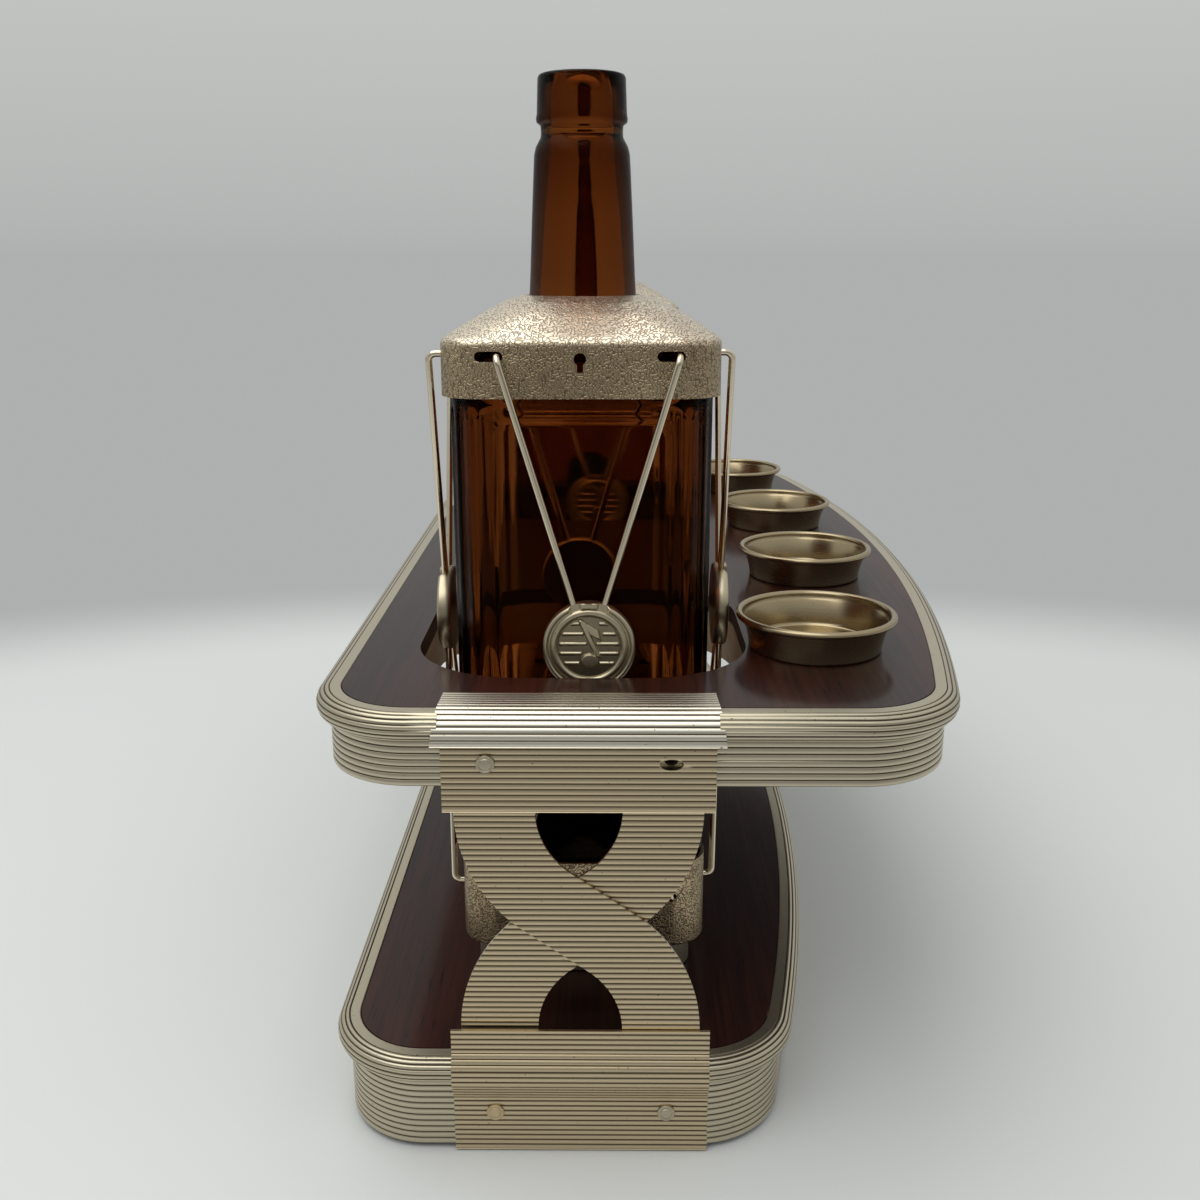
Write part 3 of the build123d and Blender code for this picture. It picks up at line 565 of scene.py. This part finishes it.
# %% [markdown]
# ## Fluted edges
#
# Each board is wrapped in two drawn strips: a half-round bead, broad and plain beside the
# wood and fluted where it turns down, and a flat band of wider flutes below it. Both are a
# profile carried round the board's edge. The edge is five arcs whose centres are chosen so
# that each runs into the next without a kink: two back corners, two front corners and the
# bow. The straight runs come by themselves, as the gaps between arcs.


# %% The board's edge as a path
def tier_edge(front_reach, bow_radius):
    """Points round the edge and the directions out of it.

    A front corner's centre lies the bow's radius less its own from the centre of the bow.
    """
    back, front = 26.0 * mm, 29.0 * mm
    back_y, bow_y = row_y + 81.7 * mm, row_y - front_reach + bow_radius
    side = half_length - front
    corner_y = bow_y - sqrt((bow_radius - front) ** 2 - side**2)
    lean = degrees(atan2(side, bow_y - corner_y))
    bends = [
        ((back - half_length, back_y - back), back, 90.0, 180.0, 18),
        ((-side, corner_y), front, 180.0, 270.0 - lean, 20),
        ((0.0, bow_y), bow_radius, 270.0 - lean, 270.0 + lean, 90),
        ((side, corner_y), front, 270.0 + lean, 360.0, 20),
        ((half_length - back, back_y - back), back, 360.0, 450.0, 18),
    ]
    points = np.concatenate([arc(*bend) for bend in bends])
    outs = np.concatenate([arc((0.0, 0.0), 1.0, *bend[2:]) for bend in bends])
    return points, outs


def carried(edge, section):
    """A section (distance out, height) carried round an edge: point + out * distance, at its height."""
    points, outs = edge
    flat = points[:, None, :] + outs[:, None, :] * section[None, :, :1]
    height = np.broadcast_to(section[None, :, 1:], (*flat.shape[:2], 1))
    return np.concatenate([flat, height], -1)


def bead_section(top):
    """Half-round: a seam beside the wood, a plain run, and flutes from first to last round the turn."""
    width, height, turn = 8.8 * mm, 10.0 * mm, 4.7 * mm
    pitch, first, last = 1.9 * mm, 4.1 * mm, 19.4 * mm
    flute_depth, seam_depth, seam_width = 0.42 * mm, 0.4 * mm, 0.5 * mm
    line = rounded([(0.0, top), (width, top), (width, top - height), (0.0, top - height)], turn, 24)
    even, out, walk = walked(line, 0.19 * mm)
    groove = flutes(walk - 0.35 * mm, pitch, 0.7) * (walk > first) * (walk < last)
    seam = np.clip(1.0 - walk / seam_width, 0.0, 1.0)
    sunk = flute_depth * groove + seam_depth * seam
    return even - out * sunk[:, None], np.maximum(groove, seam)


def band_section(bottom, top):
    """A flat strip, 1.2 mm thick, with a flute every 2.3 mm or so."""
    front, back, depth = 4.3 * mm, 3.1 * mm, 0.45 * mm
    count = round((top - bottom) / (2.3 * mm))
    walk = np.linspace(0.0, top - bottom, count * 12 + 1)
    groove = flutes(walk, (top - bottom) / count, 0.5)
    outer = np.stack([front - depth * groove, top - walk], 1)
    inner = np.array([[back, bottom], [back, top]])
    return np.concatenate([outer, inner]), np.concatenate([groove, [0.0, 0.0]])


# %% Beads and bands
def edge_trim(name, edge, section, groove):
    """One drawn strip round a board."""
    points = carried(edge, section)
    strip = grid_mesh(f"{name}_fluted", points, ring_u=True, ring_v=True, groove=groove[None, :])
    return fit(crease(strip, fold_angle), "root", "edge_trim", name)


top_edge = tier_edge(142.5 * mm, 975.0 * mm)
base_edge = tier_edge(91.3 * mm, 940.0 * mm)
edge_trim("top_bead", top_edge, *bead_section(deck_top))
edge_trim("base_bead", base_edge, *bead_section(base_top))
edge_trim("top_band", top_edge, *band_section(140.0 * mm, 156.0 * mm))
edge_trim("base_band", base_edge, *band_section(2.0 * mm, 28.4 * mm))
print("trim done")

# %% [markdown]
# ## End brackets
#
# Every piece of a bracket is cut from one rolled sheet whose ribs run level, about two
# millimetres apart, whatever the outline. The folded pieces are a section carried straight
# across the end. The two S-shaped straps are built row by row instead: each row of the grid
# has one height, and reaches from the left edge of the S to its right edge, so that the ribs
# stay level while the outline curves.


# %% Folded ribbed sheets
rib_step, rib_pitch, rib_depth, rib_sharpness = 0.2 * mm, 2.0 * mm, 0.34 * mm, 0.6
sheet, strap_sheet = 1.2 * mm, 1.1 * mm


def folded(line):
    """A section of sheet on the left of a line: out on its ribbed face, and back along the line."""
    even, out, walk = walked(line, rib_step)
    groove = flutes(walk, rib_pitch, rib_sharpness) * (walk > 0.0)
    outer = even + out * (sheet - rib_depth * groove)[:, None]
    return np.concatenate([outer, even[::-1]]), np.concatenate([groove, 0 * groove])


def across(name, section, half_width, groove):
    """A section (x, z) carried across the end between plus and minus half its width at each point."""
    steps = np.linspace(-1.0, 1.0, 25)[:, None]
    x, z = section[None, :, 0] + 0 * steps, section[None, :, 1] + 0 * steps
    y = row_y + steps * np.broadcast_to(half_width, section.shape[0])[None, :]
    return grid_mesh(name, np.stack([x, y, z], -1), ring_v=True, caps_u=True, groove=groove[None, :])


def both_ends(piece, name, finish="ribbed_sheet"):
    """The piece at the left end, and the same piece turned round at the right end."""
    crease(piece, fold_angle)
    far = far_end(piece, f"right_{name}_ribbed")
    fit(far, "root", "ribbed_sheet", f"right_{name}", finish=finishes[finish])
    fit(piece, "root", "ribbed_sheet", f"left_{name}", finish=finishes[finish])


# The hook strip runs level from hook_start, bends down at the bead and ends at hook_bottom.
# It is a little wider at the bend and at its lower edge than where it starts.
plate_face, band_face, bead_face = -234.5 * mm, -232.3 * mm, -236.9 * mm
hook_start, hook_bottom, hook_bend = -217.0 * mm, 156.0 * mm, 9.4 * mm
hook_corners = [(hook_start, deck_top), (bead_face, deck_top), (bead_face, hook_bottom)]
hook_line = rounded(hook_corners, hook_bend, 26)[::-1]
hook_section, hook_groove = folded(hook_line)
guide = walked(hook_line, rib_step)[0]
guide = np.concatenate([guide, guide[::-1]])
run = (guide[:, 0] - hook_start) / (bead_face - hook_start)
drop = (deck_top - guide[:, 1]) / (deck_top - hook_bottom)
half_width = (45.3 + 1.0 * run**2 + 1.2 * drop) * mm
hook = across("left_hook_strip_ribbed", hook_section, half_width, hook_groove)
# Painted light: the hook strip takes a paler copy of the brackets' ribbed finish.
both_ends(hook, "hook_strip", "hook_sheet_painted_light")

lower_line = rounded(
    [
        (plate_face, 50.5 * mm),
        (plate_face, 41.4 * mm),
        (bead_face, 36.0 * mm),
        (bead_face, 30.8 * mm),
        (band_face, 22.4 * mm),
        (band_face, 0.8 * mm),
    ],
    1.6 * mm,
)
lower_section, lower_groove = folded(lower_line[::-1])
plate_half = 44.5 * mm
lower_sheet = across("left_lower_sheet_ribbed", lower_section, plate_half, lower_groove)
both_ends(lower_sheet, "lower_sheet")


# %% Cutting, and the worn rivet hole
def cut(piece, cutter):
    """Take one closed shape out of another for good, and use the cutter up."""
    bite = piece.modifiers.new("bite", "BOOLEAN")
    bite.operation, bite.object, bite.solver = "DIFFERENCE", cutter, "EXACT"
    bpy.context.view_layer.update()
    bitten = piece.evaluated_get(bpy.context.evaluated_depsgraph_get())
    cut_mesh = bpy.data.meshes.new_from_object(bitten)
    piece.modifiers.clear()
    piece.data = cut_mesh
    cut_mesh.name = piece.name
    bpy.data.objects.remove(cutter)
    return piece


def seat_prism(end):
    """What the hook strip's bend takes off the bead: the corner outside an arc, from side to side."""
    past_face, past_top, half = -242.0 * mm, 172.0 * mm, 45.2 * mm
    x, z = bead_face + hook_bend, deck_top - hook_bend
    curve = arc((x, z), hook_bend, 90.0, 180.0, 25)
    section = np.concatenate([curve, [(past_face, z), (past_face, past_top), (x, past_top)]])
    x, z = -end * section[:, 0], section[:, 1]
    sides = [np.stack([x, np.full(len(x), row_y + side * half), z], 1) for side in (-1, 1)]
    return grid_mesh("hook_seat", np.stack(sides), ring_v=True, caps_u=True)


top_bead = bpy.data.objects["top_bead_fluted"]
top_bead.modifiers.clear()
for end in (-1, 1):
    cut(top_bead, seat_prism(end))
crease(top_bead, fold_angle)


def worn_hole(name, wide, tall):
    """An oval prism along the stand, (wide cos a, tall sin a) about the lost rivet's place."""
    lost_rivet, before, behind = [0.4 * mm, 149.1 * mm], -240.0 * mm, -228.5 * mm
    oval = arc((0.0, 0.0), 1.0, 0.0, 360.0, 29)[:-1] * [wide, tall] + lost_rivet
    ends = [np.concatenate([np.full((len(oval), 1), x), oval], 1) for x in (before, behind)]
    return grid_mesh(name, np.stack(ends), ring_v=True, caps_u=True)


plate_bottom, plate_top = 132.4 * mm, 155.9 * mm
plate_line = np.array([(plate_face, plate_bottom), (plate_face, plate_top)])
plate_section, plate_groove = folded(plate_line)
upper_plate = across("left_upper_plate_ribbed", plate_section, plate_half, plate_groove)
right_plate = far_end(upper_plate, "right_upper_plate_ribbed")
cut(upper_plate, worn_hole("plate_hole", 3.9 * mm, 1.9 * mm))
fit(crease(right_plate, fold_angle), "root", "ribbed_sheet", "right_upper_plate")
fit(crease(upper_plate, fold_angle), "root", "ribbed_sheet", "left_upper_plate")


# %% Crossing S-shaped straps
def strap_edges():
    """Left and right edge of an S, as (across, height): two bends joined by a slanting straight."""
    bend, half, side = 41.1 * mm, 13.3 * mm, 27.7 * mm
    middle, rise, head_run, tail_run = 91.45 * mm, 40.95 * mm, 22.0 * mm, 12.0 * mm
    inset = bend - side
    lean = degrees(asin(bend / hypot(rise, inset)) - atan2(inset, rise))
    edges = []
    for hand in (1, -1):
        upper = arc((inset, middle + rise), bend + hand * half, 180.0, 180.0 + lean, 60)
        lower = arc((-inset, middle - rise), bend - hand * half, lean, 0.0, 60)
        head = [(-side - hand * half, middle + rise + head_run)]
        tail = [(side - hand * half, middle - rise - tail_run)]
        edges.append(np.concatenate([head, upper, lower, tail]))
    return edges


def make_strap(name, face, hand):
    """Rows of one height each: across from edge to edge in front, and back again behind."""
    foot, head, columns = 38.5 * mm, 154.4 * mm, 9
    height = np.arange(foot, head, rib_step)
    left, right = (np.interp(height, edge[::-1, 1], edge[::-1, 0]) for edge in strap_edges())
    groove = flutes(height - plate_bottom, rib_pitch, rib_sharpness)[:, None]
    share = np.concatenate([np.linspace(0.0, 1.0, columns), [1.0, 0.0]])[None, :]
    front = np.concatenate([np.ones(columns), [0.0, 0.0]])[None, :]
    y = row_y - hand * (left[:, None] * (1 - share) + right[:, None] * share)
    x = face - front * (strap_sheet - rib_depth * groove)
    points = np.stack([x, y, np.broadcast_to(height[:, None], y.shape)], -1)
    return grid_mesh(name, points, ring_v=True, caps_u=True, groove=groove * front)


rear_strap = make_strap("left_rear_strap_ribbed", band_face, -1)
front_strap = make_strap("left_front_strap_ribbed", band_face - strap_sheet, 1)
both_ends(rear_strap, "rear_strap")
both_ends(front_strap, "front_strap")
rear_strap.modifiers.clear()
crease(cut(rear_strap, worn_hole("strap_hole", 3.5 * mm, 1.7 * mm)), fold_angle)
top_band = bpy.data.objects["top_band_fluted"]
top_band.modifiers.clear()
crease(cut(top_band, worn_hole("band_hole", 2.2 * mm, 1.6 * mm)), fold_angle)
print("brackets done")


# %% Rivets
def rivet(name, x, y, z, dome):
    """A head turned about an axis along the stand: a dome inside a moat and a rounded brim."""
    radius, height, brim, sunk = 3.1 * mm, 1.0 * mm, 0.5 * mm, -0.2 * mm
    share = np.linspace(0.0, 1.0, 24)[:-1]
    moat = 0.30 * mm * np.exp(-(((share - 0.80) / 0.11) ** 2))
    crown = np.stack([share * (radius - brim), height + dome * (1 - share**2) - moat], 1)
    edge = arc((radius - brim, height - brim), brim, 90.0, 0.0, 6)
    section = np.concatenate([crown, edge, [(radius, sunk), (0.0, sunk)]])
    local = spun(section[:, 0], section[:, 1], 40)
    head = [x + np.sign(x) * local[..., 2], y + local[..., 0], z + local[..., 1]]
    return grid_mesh(name, np.stack(head, -1), ring_u=True)


def rivets(seats):
    """A head for each row of x, y, z and dome height, in millimetres."""
    return [rivet(f"rivet_{number}", *(np.array(seat) * mm)) for number, seat in enumerate(seats)]


left_rivets = rivets([(-235.7, 60.4, 149.5, 0.15), (-233.5, 60.4, 16.5, 0.15), (-233.5, 0.4, 16.5, 0.5)])
brassy = mix_aluminium("brassy_rivet", (0.66, 0.53, 0.33), (0.34, 0.27, 0.16), 0.42, 0.26)
odd_rivet = fit(crease(left_rivets.pop(1)), "root", "rivet_metal", "left_rivets", finish=brassy)
odd_rivet.name = "left_rivet_brassy"
fit(crease(joined("left_rivets_silver", left_rivets)), "root", "rivet_metal", "left_rivets")
right_seats = [(x, y, z, 0.3) for x, z in ((235.7, 149.5), (233.5, 16.5)) for y in (0.4, 60.4)]
right_rivets = joined("right_rivets_silver", rivets(right_seats))
fit(crease(right_rivets), "root", "rivet_metal", "right_rivets")

# %% [markdown]
# ## Cups
#
# The cups are spun from thin aluminium: a flat floor, a small turn at the foot, a wall that
# sweeps outwards towards the top, and a rolled rim. One closed profile, from the screw hole
# round the outside, over the rim and back down the inside, is turned about the cup's axis.


# %% Spun cups
def cup_profile():
    """Outer wall r = 24.6 + 3.1 (z / 11.6) ^ 1.8, a round rim, and an inner wall one sheet inside."""
    climb = np.linspace(0.9, 11.6, 18)
    wall = np.stack([24.6 + 3.1 * (climb / 11.6) ** 1.8, climb], 1)
    foot = arc((23.7, 0.9), 0.9, -90.0, 0.0, 6)
    rim = arc((28.4, 12.5), 1.3, -118.0, 205.0, 26)
    inner = wall[::-1][1:-2] - [1.0, 0.0]
    corner = arc((22.0, 2.6), 1.6, 0.0, -90.0, 6)
    line = np.concatenate([[(1.7, 0.0)], foot, wall[1:], rim, inner, corner, [(3.6, 1.0)]])
    return line * mm


cup_line = cup_profile()
cup_spots = [(-162.5, 86.6), (-55.0, 98.6), (55.0, 98.6), (162.5, 86.6)]
for number, (x, reach) in enumerate(cup_spots, start=1):
    spot = np.array([x * mm, row_y - reach * mm, deck_top])
    around = spun(cup_line[:, 0], cup_line[:, 1], 120) + spot
    cup = grid_mesh(f"spun_cup_{number}", around, ring_u=True, ring_v=True)
    fit(crease(cup, 60.0), "root", "cup_metal", f"cup_{number}")
print("cups done")

# %% [markdown]
# ## Square rings of points
#
# The bottle and its cap have sections that are squares with round corners, and turn into
# circles at the neck. One formula gives them all: each of four sides runs along its flat and
# then round its corner. With half the width and the corner's radius given for every height,
# a stack of such rings is one grid, and its outward directions come along with it.


# %% Stacked rounded squares
def quarter_axes(quarter):
    """Unit vectors out of one of four sides and along it; side 0 faces -y."""
    facing = np.array([np.sin(quarter * pi / 2), -np.cos(quarter * pi / 2), 0.0])
    return facing, np.array([-facing[1], facing[0], 0.0])


def square_rings(half, corner, height, side_steps, corner_steps):
    """Rings of facing * (h - c + c cos a) + across * ((h - c) t + c sin a), one for each height.

    Returns the points, the outward directions, the distance along each side, and the
    fraction of the way round the corner.
    """
    half, corner, height = (np.asarray(value, float)[:, None] for value in (half, corner, height))
    flat_run = np.linspace(-1.0, 1.0, side_steps, endpoint=False)
    corner_run = np.linspace(0.0, 1.0, corner_steps, endpoint=False)
    along = np.concatenate([flat_run, np.ones(corner_steps)])[None, :]
    swing = np.concatenate([np.zeros(side_steps), corner_run])[None, :]
    turn = swing * pi / 2
    out = half - corner + corner * np.cos(turn)
    over = (half - corner) * along + corner * np.sin(turn)
    rings, outs = [], []
    for quarter in range(4):
        facing, sideways = quarter_axes(quarter)
        flat = out[..., None] * facing + over[..., None] * sideways
        rings.append(flat + height[..., None] * [0.0, 0.0, 1.0])
        lean = np.cos(turn)[..., None] * facing + np.sin(turn)[..., None] * sideways
        outs.append(np.broadcast_to(lean, flat.shape))
    wide = np.tile(over, (1, 4))
    return np.concatenate(rings, 1), np.concatenate(outs, 1), wide, np.tile(swing + 0 * over, (1, 4))


def inside_box(across_by, up_by, half_wide, half_tall, corner):
    """Distance to the edge of a rounded rectangle, positive inside it."""
    x, z = np.abs(across_by) - half_wide + corner, np.abs(up_by) - half_tall + corner
    beyond = np.hypot(np.maximum(x, 0.0), np.maximum(z, 0.0))
    return corner - beyond - np.minimum(np.maximum(x, z), 0.0)


# %% [markdown]
# ## Amber bottles
#
# The bottles are moulded, so their walls are thick and soft at the edges. The outer face is
# a stack of rings with two reliefs laid on it: a sunk panel on every side, and upright
# flutes round each corner. The inner face is a second stack, and the two join over the lip
# into one closed wall, because glass only bends light rightly if it has an inside.


# %% Glass
def bottle_points():
    """Outer face upwards and inner face downwards, in millimetres.

    Relief is taken off the outer face along its outward direction. Both tables are rows of
    height, half width and corner radius, and a corner as wide as the half makes a circle.
    """
    side_steps, corner_steps = 44, 28
    panel_middle, panel_half_width, panel_half_height, panel_corner = 176.0, 32.0, 77.0, 7.0
    panel_depth, flute_depth = 0.9, 0.7
    foot, hip = [77.7, 78.2, 87.2, 88.4], [255.0, 258.0, 262.0]
    z = np.concatenate([foot, np.linspace(90.0, 98.0, 8), np.arange(98.5, 254.0, 1.5), hip])
    half = np.interp(z, foot, [44.0, 44.6, 44.6, 46.0])
    corner = np.interp(z, foot[2:], [14.0, 17.0])
    neck = np.array(
        [
            (268.0, 40.6, 17.0), (276.0, 33.3, 18.0), (284.0, 26.0, 18.8), (289.0, 21.4, 19.0),
            (293.0, 19.4, 18.9), (300.0, 19.0, 18.6), (320.0, 18.1, 17.7), (336.0, 17.3, 16.9),
            (341.0, 17.0, 16.6), (343.5, 16.4, 16.0), (345.5, 15.3, 14.9), (346.8, 14.6, 14.3),
            (348.5, 14.5, 14.2), (350.6, 14.6, 14.3), (351.2, 15.2, 14.9), (351.8, 16.0, 15.6),
            (353.0, 16.2, 15.8), (354.4, 15.9, 15.5), (360.0, 15.7, 15.3), (366.2, 15.5, 15.1),
            (367.2, 15.0, 14.6), (367.5, 14.2, 13.9),
        ]
    )
    z, half, corner = np.concatenate([np.stack([z, half, corner], 1), neck]).T
    outer, out, wide, swing = square_rings(half, corner, z, side_steps, corner_steps)
    level = z[:, None]
    box = inside_box(wide, level - panel_middle, panel_half_width, panel_half_height, panel_corner)
    panel = np.clip(box / 1.6, 0.0, 1.0)
    tall = np.clip((level - 90.0) / 4.0, 0.0, 1.0) * np.clip((260.0 - level) / 4.0, 0.0, 1.0)
    scallop = np.sin(pi * 3.0 * np.clip((swing - 0.1) / 0.8, 0.0, 1.0)) ** 2
    relief = panel_depth * panel**2 * (3 - 2 * panel) + flute_depth * tall * scallop
    outer = outer - out * relief[..., None]
    lining = np.array(
        [
            (367.5, 11.2, 10.9), (366.9, 10.6, 10.4), (340.0, 11.4, 11.2), (320.0, 13.6, 13.3),
            (300.0, 15.0, 14.7), (291.0, 15.6, 15.2), (284.0, 21.5, 15.6), (272.0, 33.0, 14.5),
            (262.0, 40.8, 12.6), (250.0, 41.2, 12.6), (150.0, 41.2, 12.6), (90.0, 41.2, 12.6),
            (86.0, 40.4, 11.9), (83.5, 38.0, 10.0), (82.7, 34.0, 8.0),
        ]
    )
    z, half, corner = lining.T
    inner = square_rings(half, corner, z, side_steps, corner_steps)[0]
    return np.concatenate([outer, inner])


glass_points = bottle_points()
for side, place in stations.items():
    spot = glass_points * mm + np.array([place, row_y, 0.0])
    bottle = grid_mesh(f"{side}_amber_bottle", spot, ring_v=True, caps_u=True)
    fit(bottle, f"{side}_bottle", "amber_glass", f"{side}_glass_bottle")
print("bottles done")

# %% [markdown]
# ## Shoulder caps
#
# A cap is pressed from sheet that was rolled with a worm pattern. It is the same stack of
# square rings: up the outside, over the hip, along the crown to the mouth and back down the
# inside, one sheet's thickness away. The wires' slots and the keyhole are then cut through
# its walls with level prisms, each an outline drawn at two distances from the axis.


# %% Pressed caps
def facing_prisms(outline, level):
    """An outline (across, up) made a prism through each of the four walls."""
    inner, outer = 40.0 * mm, 60.0 * mm
    prisms = []
    for quarter in range(4):
        facing, sideways = quarter_axes(quarter)
        flat = outline[:, :1] * sideways + (outline[:, 1:] + level) * np.array([0.0, 0.0, 1.0])
        ends = np.stack([flat + facing * inner, flat + facing * outer])
        prisms.append(grid_mesh("opening", ends, ring_v=True, caps_u=True))
    return joined("opening", prisms)


def cap_line():
    """(half width, height) up the outside and down the inside, with a soft hip."""
    upwards = [(48.25, 260.3), (48.25, 279.4), (34.6, 287.6), (27.6, 291.2), (21.4, 293.0)]
    downwards = [(20.2, 291.8), (27.2, 289.9), (34.2, 286.3), (47.05, 278.6), (47.05, 260.3)]
    outside = walked(rounded(upwards, 3.2, 9), 0.9)[0]
    mouth = arc((20.9, 292.3), 0.7, 80.0, 200.0, 6)
    inside = walked(rounded(downwards, 2.2, 7), 1.5)[0]
    return np.concatenate([outside, mouth, inside])


def make_cap(side, place):
    """A cap about the upright axis, with its openings cut, and then moved to its bottle."""
    half, height = cap_line().T
    corner = np.minimum(np.interp(half, [20.0, 48.25], [19.6, 15.0]), half * 0.985)
    rings = square_rings(half, corner, height, 24, 14)[0] * mm
    cap = grid_mesh(f"{side}_pressed_cap", rings, ring_u=True, ring_v=True)
    ends = [arc((3.05, 0.0), 1.7, -90.0, 90.0, 9), arc((-3.05, 0.0), 1.7, 90.0, 270.0, 9)]
    slot, aside, slot_level, key_level = np.concatenate(ends), [30.5, 0.0], 274.3, 273.4
    key = np.concatenate([arc((0.0, 0.0), 2.1, -60.0, 240.0, 17), [(-1.05, -4.4), (1.05, -4.4)]])
    for outline, level in ((slot + aside, slot_level), (slot - aside, slot_level), (key, key_level)):
        cut(cap, facing_prisms(outline * mm, level * mm))
    move_points(cap.data, 1.0, [place, row_y, 0.0])
    return fit(crease(cap, 40.0), f"{side}_bottle", "hammered_metal", f"{side}_shoulder_cap")


for side, place in stations.items():
    make_cap(side, place)
print("caps done")

# %% [markdown]
# ## Medallions
#
# A medallion is struck like a coin: a rolled rim, a step, a raised ring and a sunk field
# with five staff lines and a note standing on it. Its face is a disc of rings and spokes,
# lifted by a relief that is a formula of the place on it. Each shape is a distance, positive
# inside the shape, so that shapes combine with a maximum and rise over a soft edge.


# %% Struck relief
def soft(distance, blur):
    """0 outside an edge, 1 inside it, smooth over the blur."""
    share = np.clip(distance / blur + 0.5, 0.0, 1.0)
    return share * share * (3 - 2 * share)


def note(x, z):
    """A quaver, as a distance: a slanting stem, an oval head and a four-sided flag."""
    stem = 0.80 - np.abs((x + 2.7) * 0.914 + (z - 9.6) * 0.406)
    stem = np.minimum(stem, np.minimum(z + 3.6, 9.9 - z))
    head = 2.45 - np.hypot((x - 0.2) * 0.86, z + 5.0)
    corners = np.array([(-2.6, 9.9), (3.2, 6.4), (4.1, 2.6), (0.4, 4.6)])
    runs = np.roll(corners, -1, 0) - corners
    runs /= np.linalg.norm(runs, axis=1)[:, None]
    outside = [(z - b) * u - (x - a) * v for (a, b), (u, v) in zip(corners, runs)]
    return np.maximum(np.maximum(stem, head), -np.max(outside, 0))


def struck(x, z):
    """Height over the field in millimetres: rim, raised ring, staff lines and note."""
    radius = np.hypot(x, z)
    rim = 1.5 * np.sqrt(np.clip(1.0 - ((radius - 15.2) / 1.05) ** 2, 0.0, 1.0))
    notch = soft(6.6 - np.abs(x), 0.6) * soft(np.abs(z) - 9.0, 1.0)
    bar = 1.5 * soft(3.1 - np.abs(x), 0.5) * soft(1.0 - np.abs(np.abs(z) - 15.1), 0.5)
    ring = 1.35 * np.sqrt(np.clip(1.0 - ((radius - 12.4) / 1.5) ** 2, 0.0, 1.0))
    step = 0.55 * soft(radius - 12.0, 0.8)
    levels = np.array([8.4, 4.7, 1.1, -2.4, -6.0])
    starts = np.array([-3.3, -2.0, -0.9, -2.8, -3.5])
    ends = np.array([3.6, 4.9, 2.7, 3.6, 3.6])
    beside = np.maximum(starts - x[..., None], x[..., None] - ends)
    line = np.minimum(0.42 - np.abs(z[..., None] - levels), beside).max(-1)
    staff = 0.45 * soft(line, 0.35) * soft(10.4 - radius, 0.6)
    quaver = 0.95 * soft(note(x, z), 0.45) * soft(11.0 - radius, 0.5)
    return np.maximum.reduce([rim * (1 - notch), bar, ring, step * (1 - 0.6 * notch), staff, quaver])


def medallion(quarter):
    """A face of rings and spokes at x = r cos a, z = r sin a, its relief facing out, and a flat back.

    It hangs a little to one side of its bottle's middle. Returns its points, and how low
    each lies in the relief.
    """
    aside, level, back, thick, rim, centre = 2.8, 175.0 * mm, 50.2, 3.6, 16.2, 0.02
    rings = np.concatenate([np.linspace(centre, 11.2, 56), np.linspace(11.4, rim, 30)])
    angle = np.linspace(0.0, 2 * pi, 200, endpoint=False)[:, None]
    x, z = rings * np.cos(angle), rings * np.sin(angle)
    lift = struck(x, z)
    sheets = [np.stack([x + aside, back + thick + lift, z], -1)]
    for radius, y in ((rim, 51.0), (15.6, back), (centre, back)):
        circle = [aside + radius * np.cos(angle), y + 0 * angle, radius * np.sin(angle)]
        sheets.append(np.stack(circle, -1))
    over, out, up = np.moveaxis(np.concatenate(sheets, 1) * mm, -1, 0)[..., None]
    facing, sideways = quarter_axes(quarter)
    points = over * sideways + out * facing + (up + level) * [0.0, 0.0, 1.0]
    # The lower a point lies in the relief, the darker the finish paints it through the groove mark: painted
    # shade in the sunk field.
    low = np.concatenate([1.0 - np.clip(lift / 0.45, 0.0, 1.0), np.zeros((200, 3))], 1) * 0.45
    return points, low


for side, place in stations.items():
    coins = []
    for quarter in range(4):
        points, low = medallion(quarter)
        points += np.array([place, row_y, 0.0])
        coins.append(grid_mesh(f"coin_{quarter}", points, ring_u=True, ring_v=True, groove=low))
    struck_set = crease(joined(f"{side}_struck_medallions", coins), fold_angle)
    fit(struck_set, f"{side}_bottle", "medallion_metal", f"{side}_medallions")
print("medallions done")

# %% [markdown]
# ## The rest of the construction
#
# The boards, wires, feet, turntables and the music movement already have their right shapes
# in the frame. They only need their finishes, and each takes the one that its record names.

# %% Dress the frame's own nodes
for name, node in frame["nodes"].items():
    if not node.hide_render:
        node.data.materials.clear()
        node.data.materials.append(finishes[slots[name]])
print("dressed", sorted(name for name, node in frame["nodes"].items() if not node.hide_render))

# %% The end
bpy.context.view_layer.update()
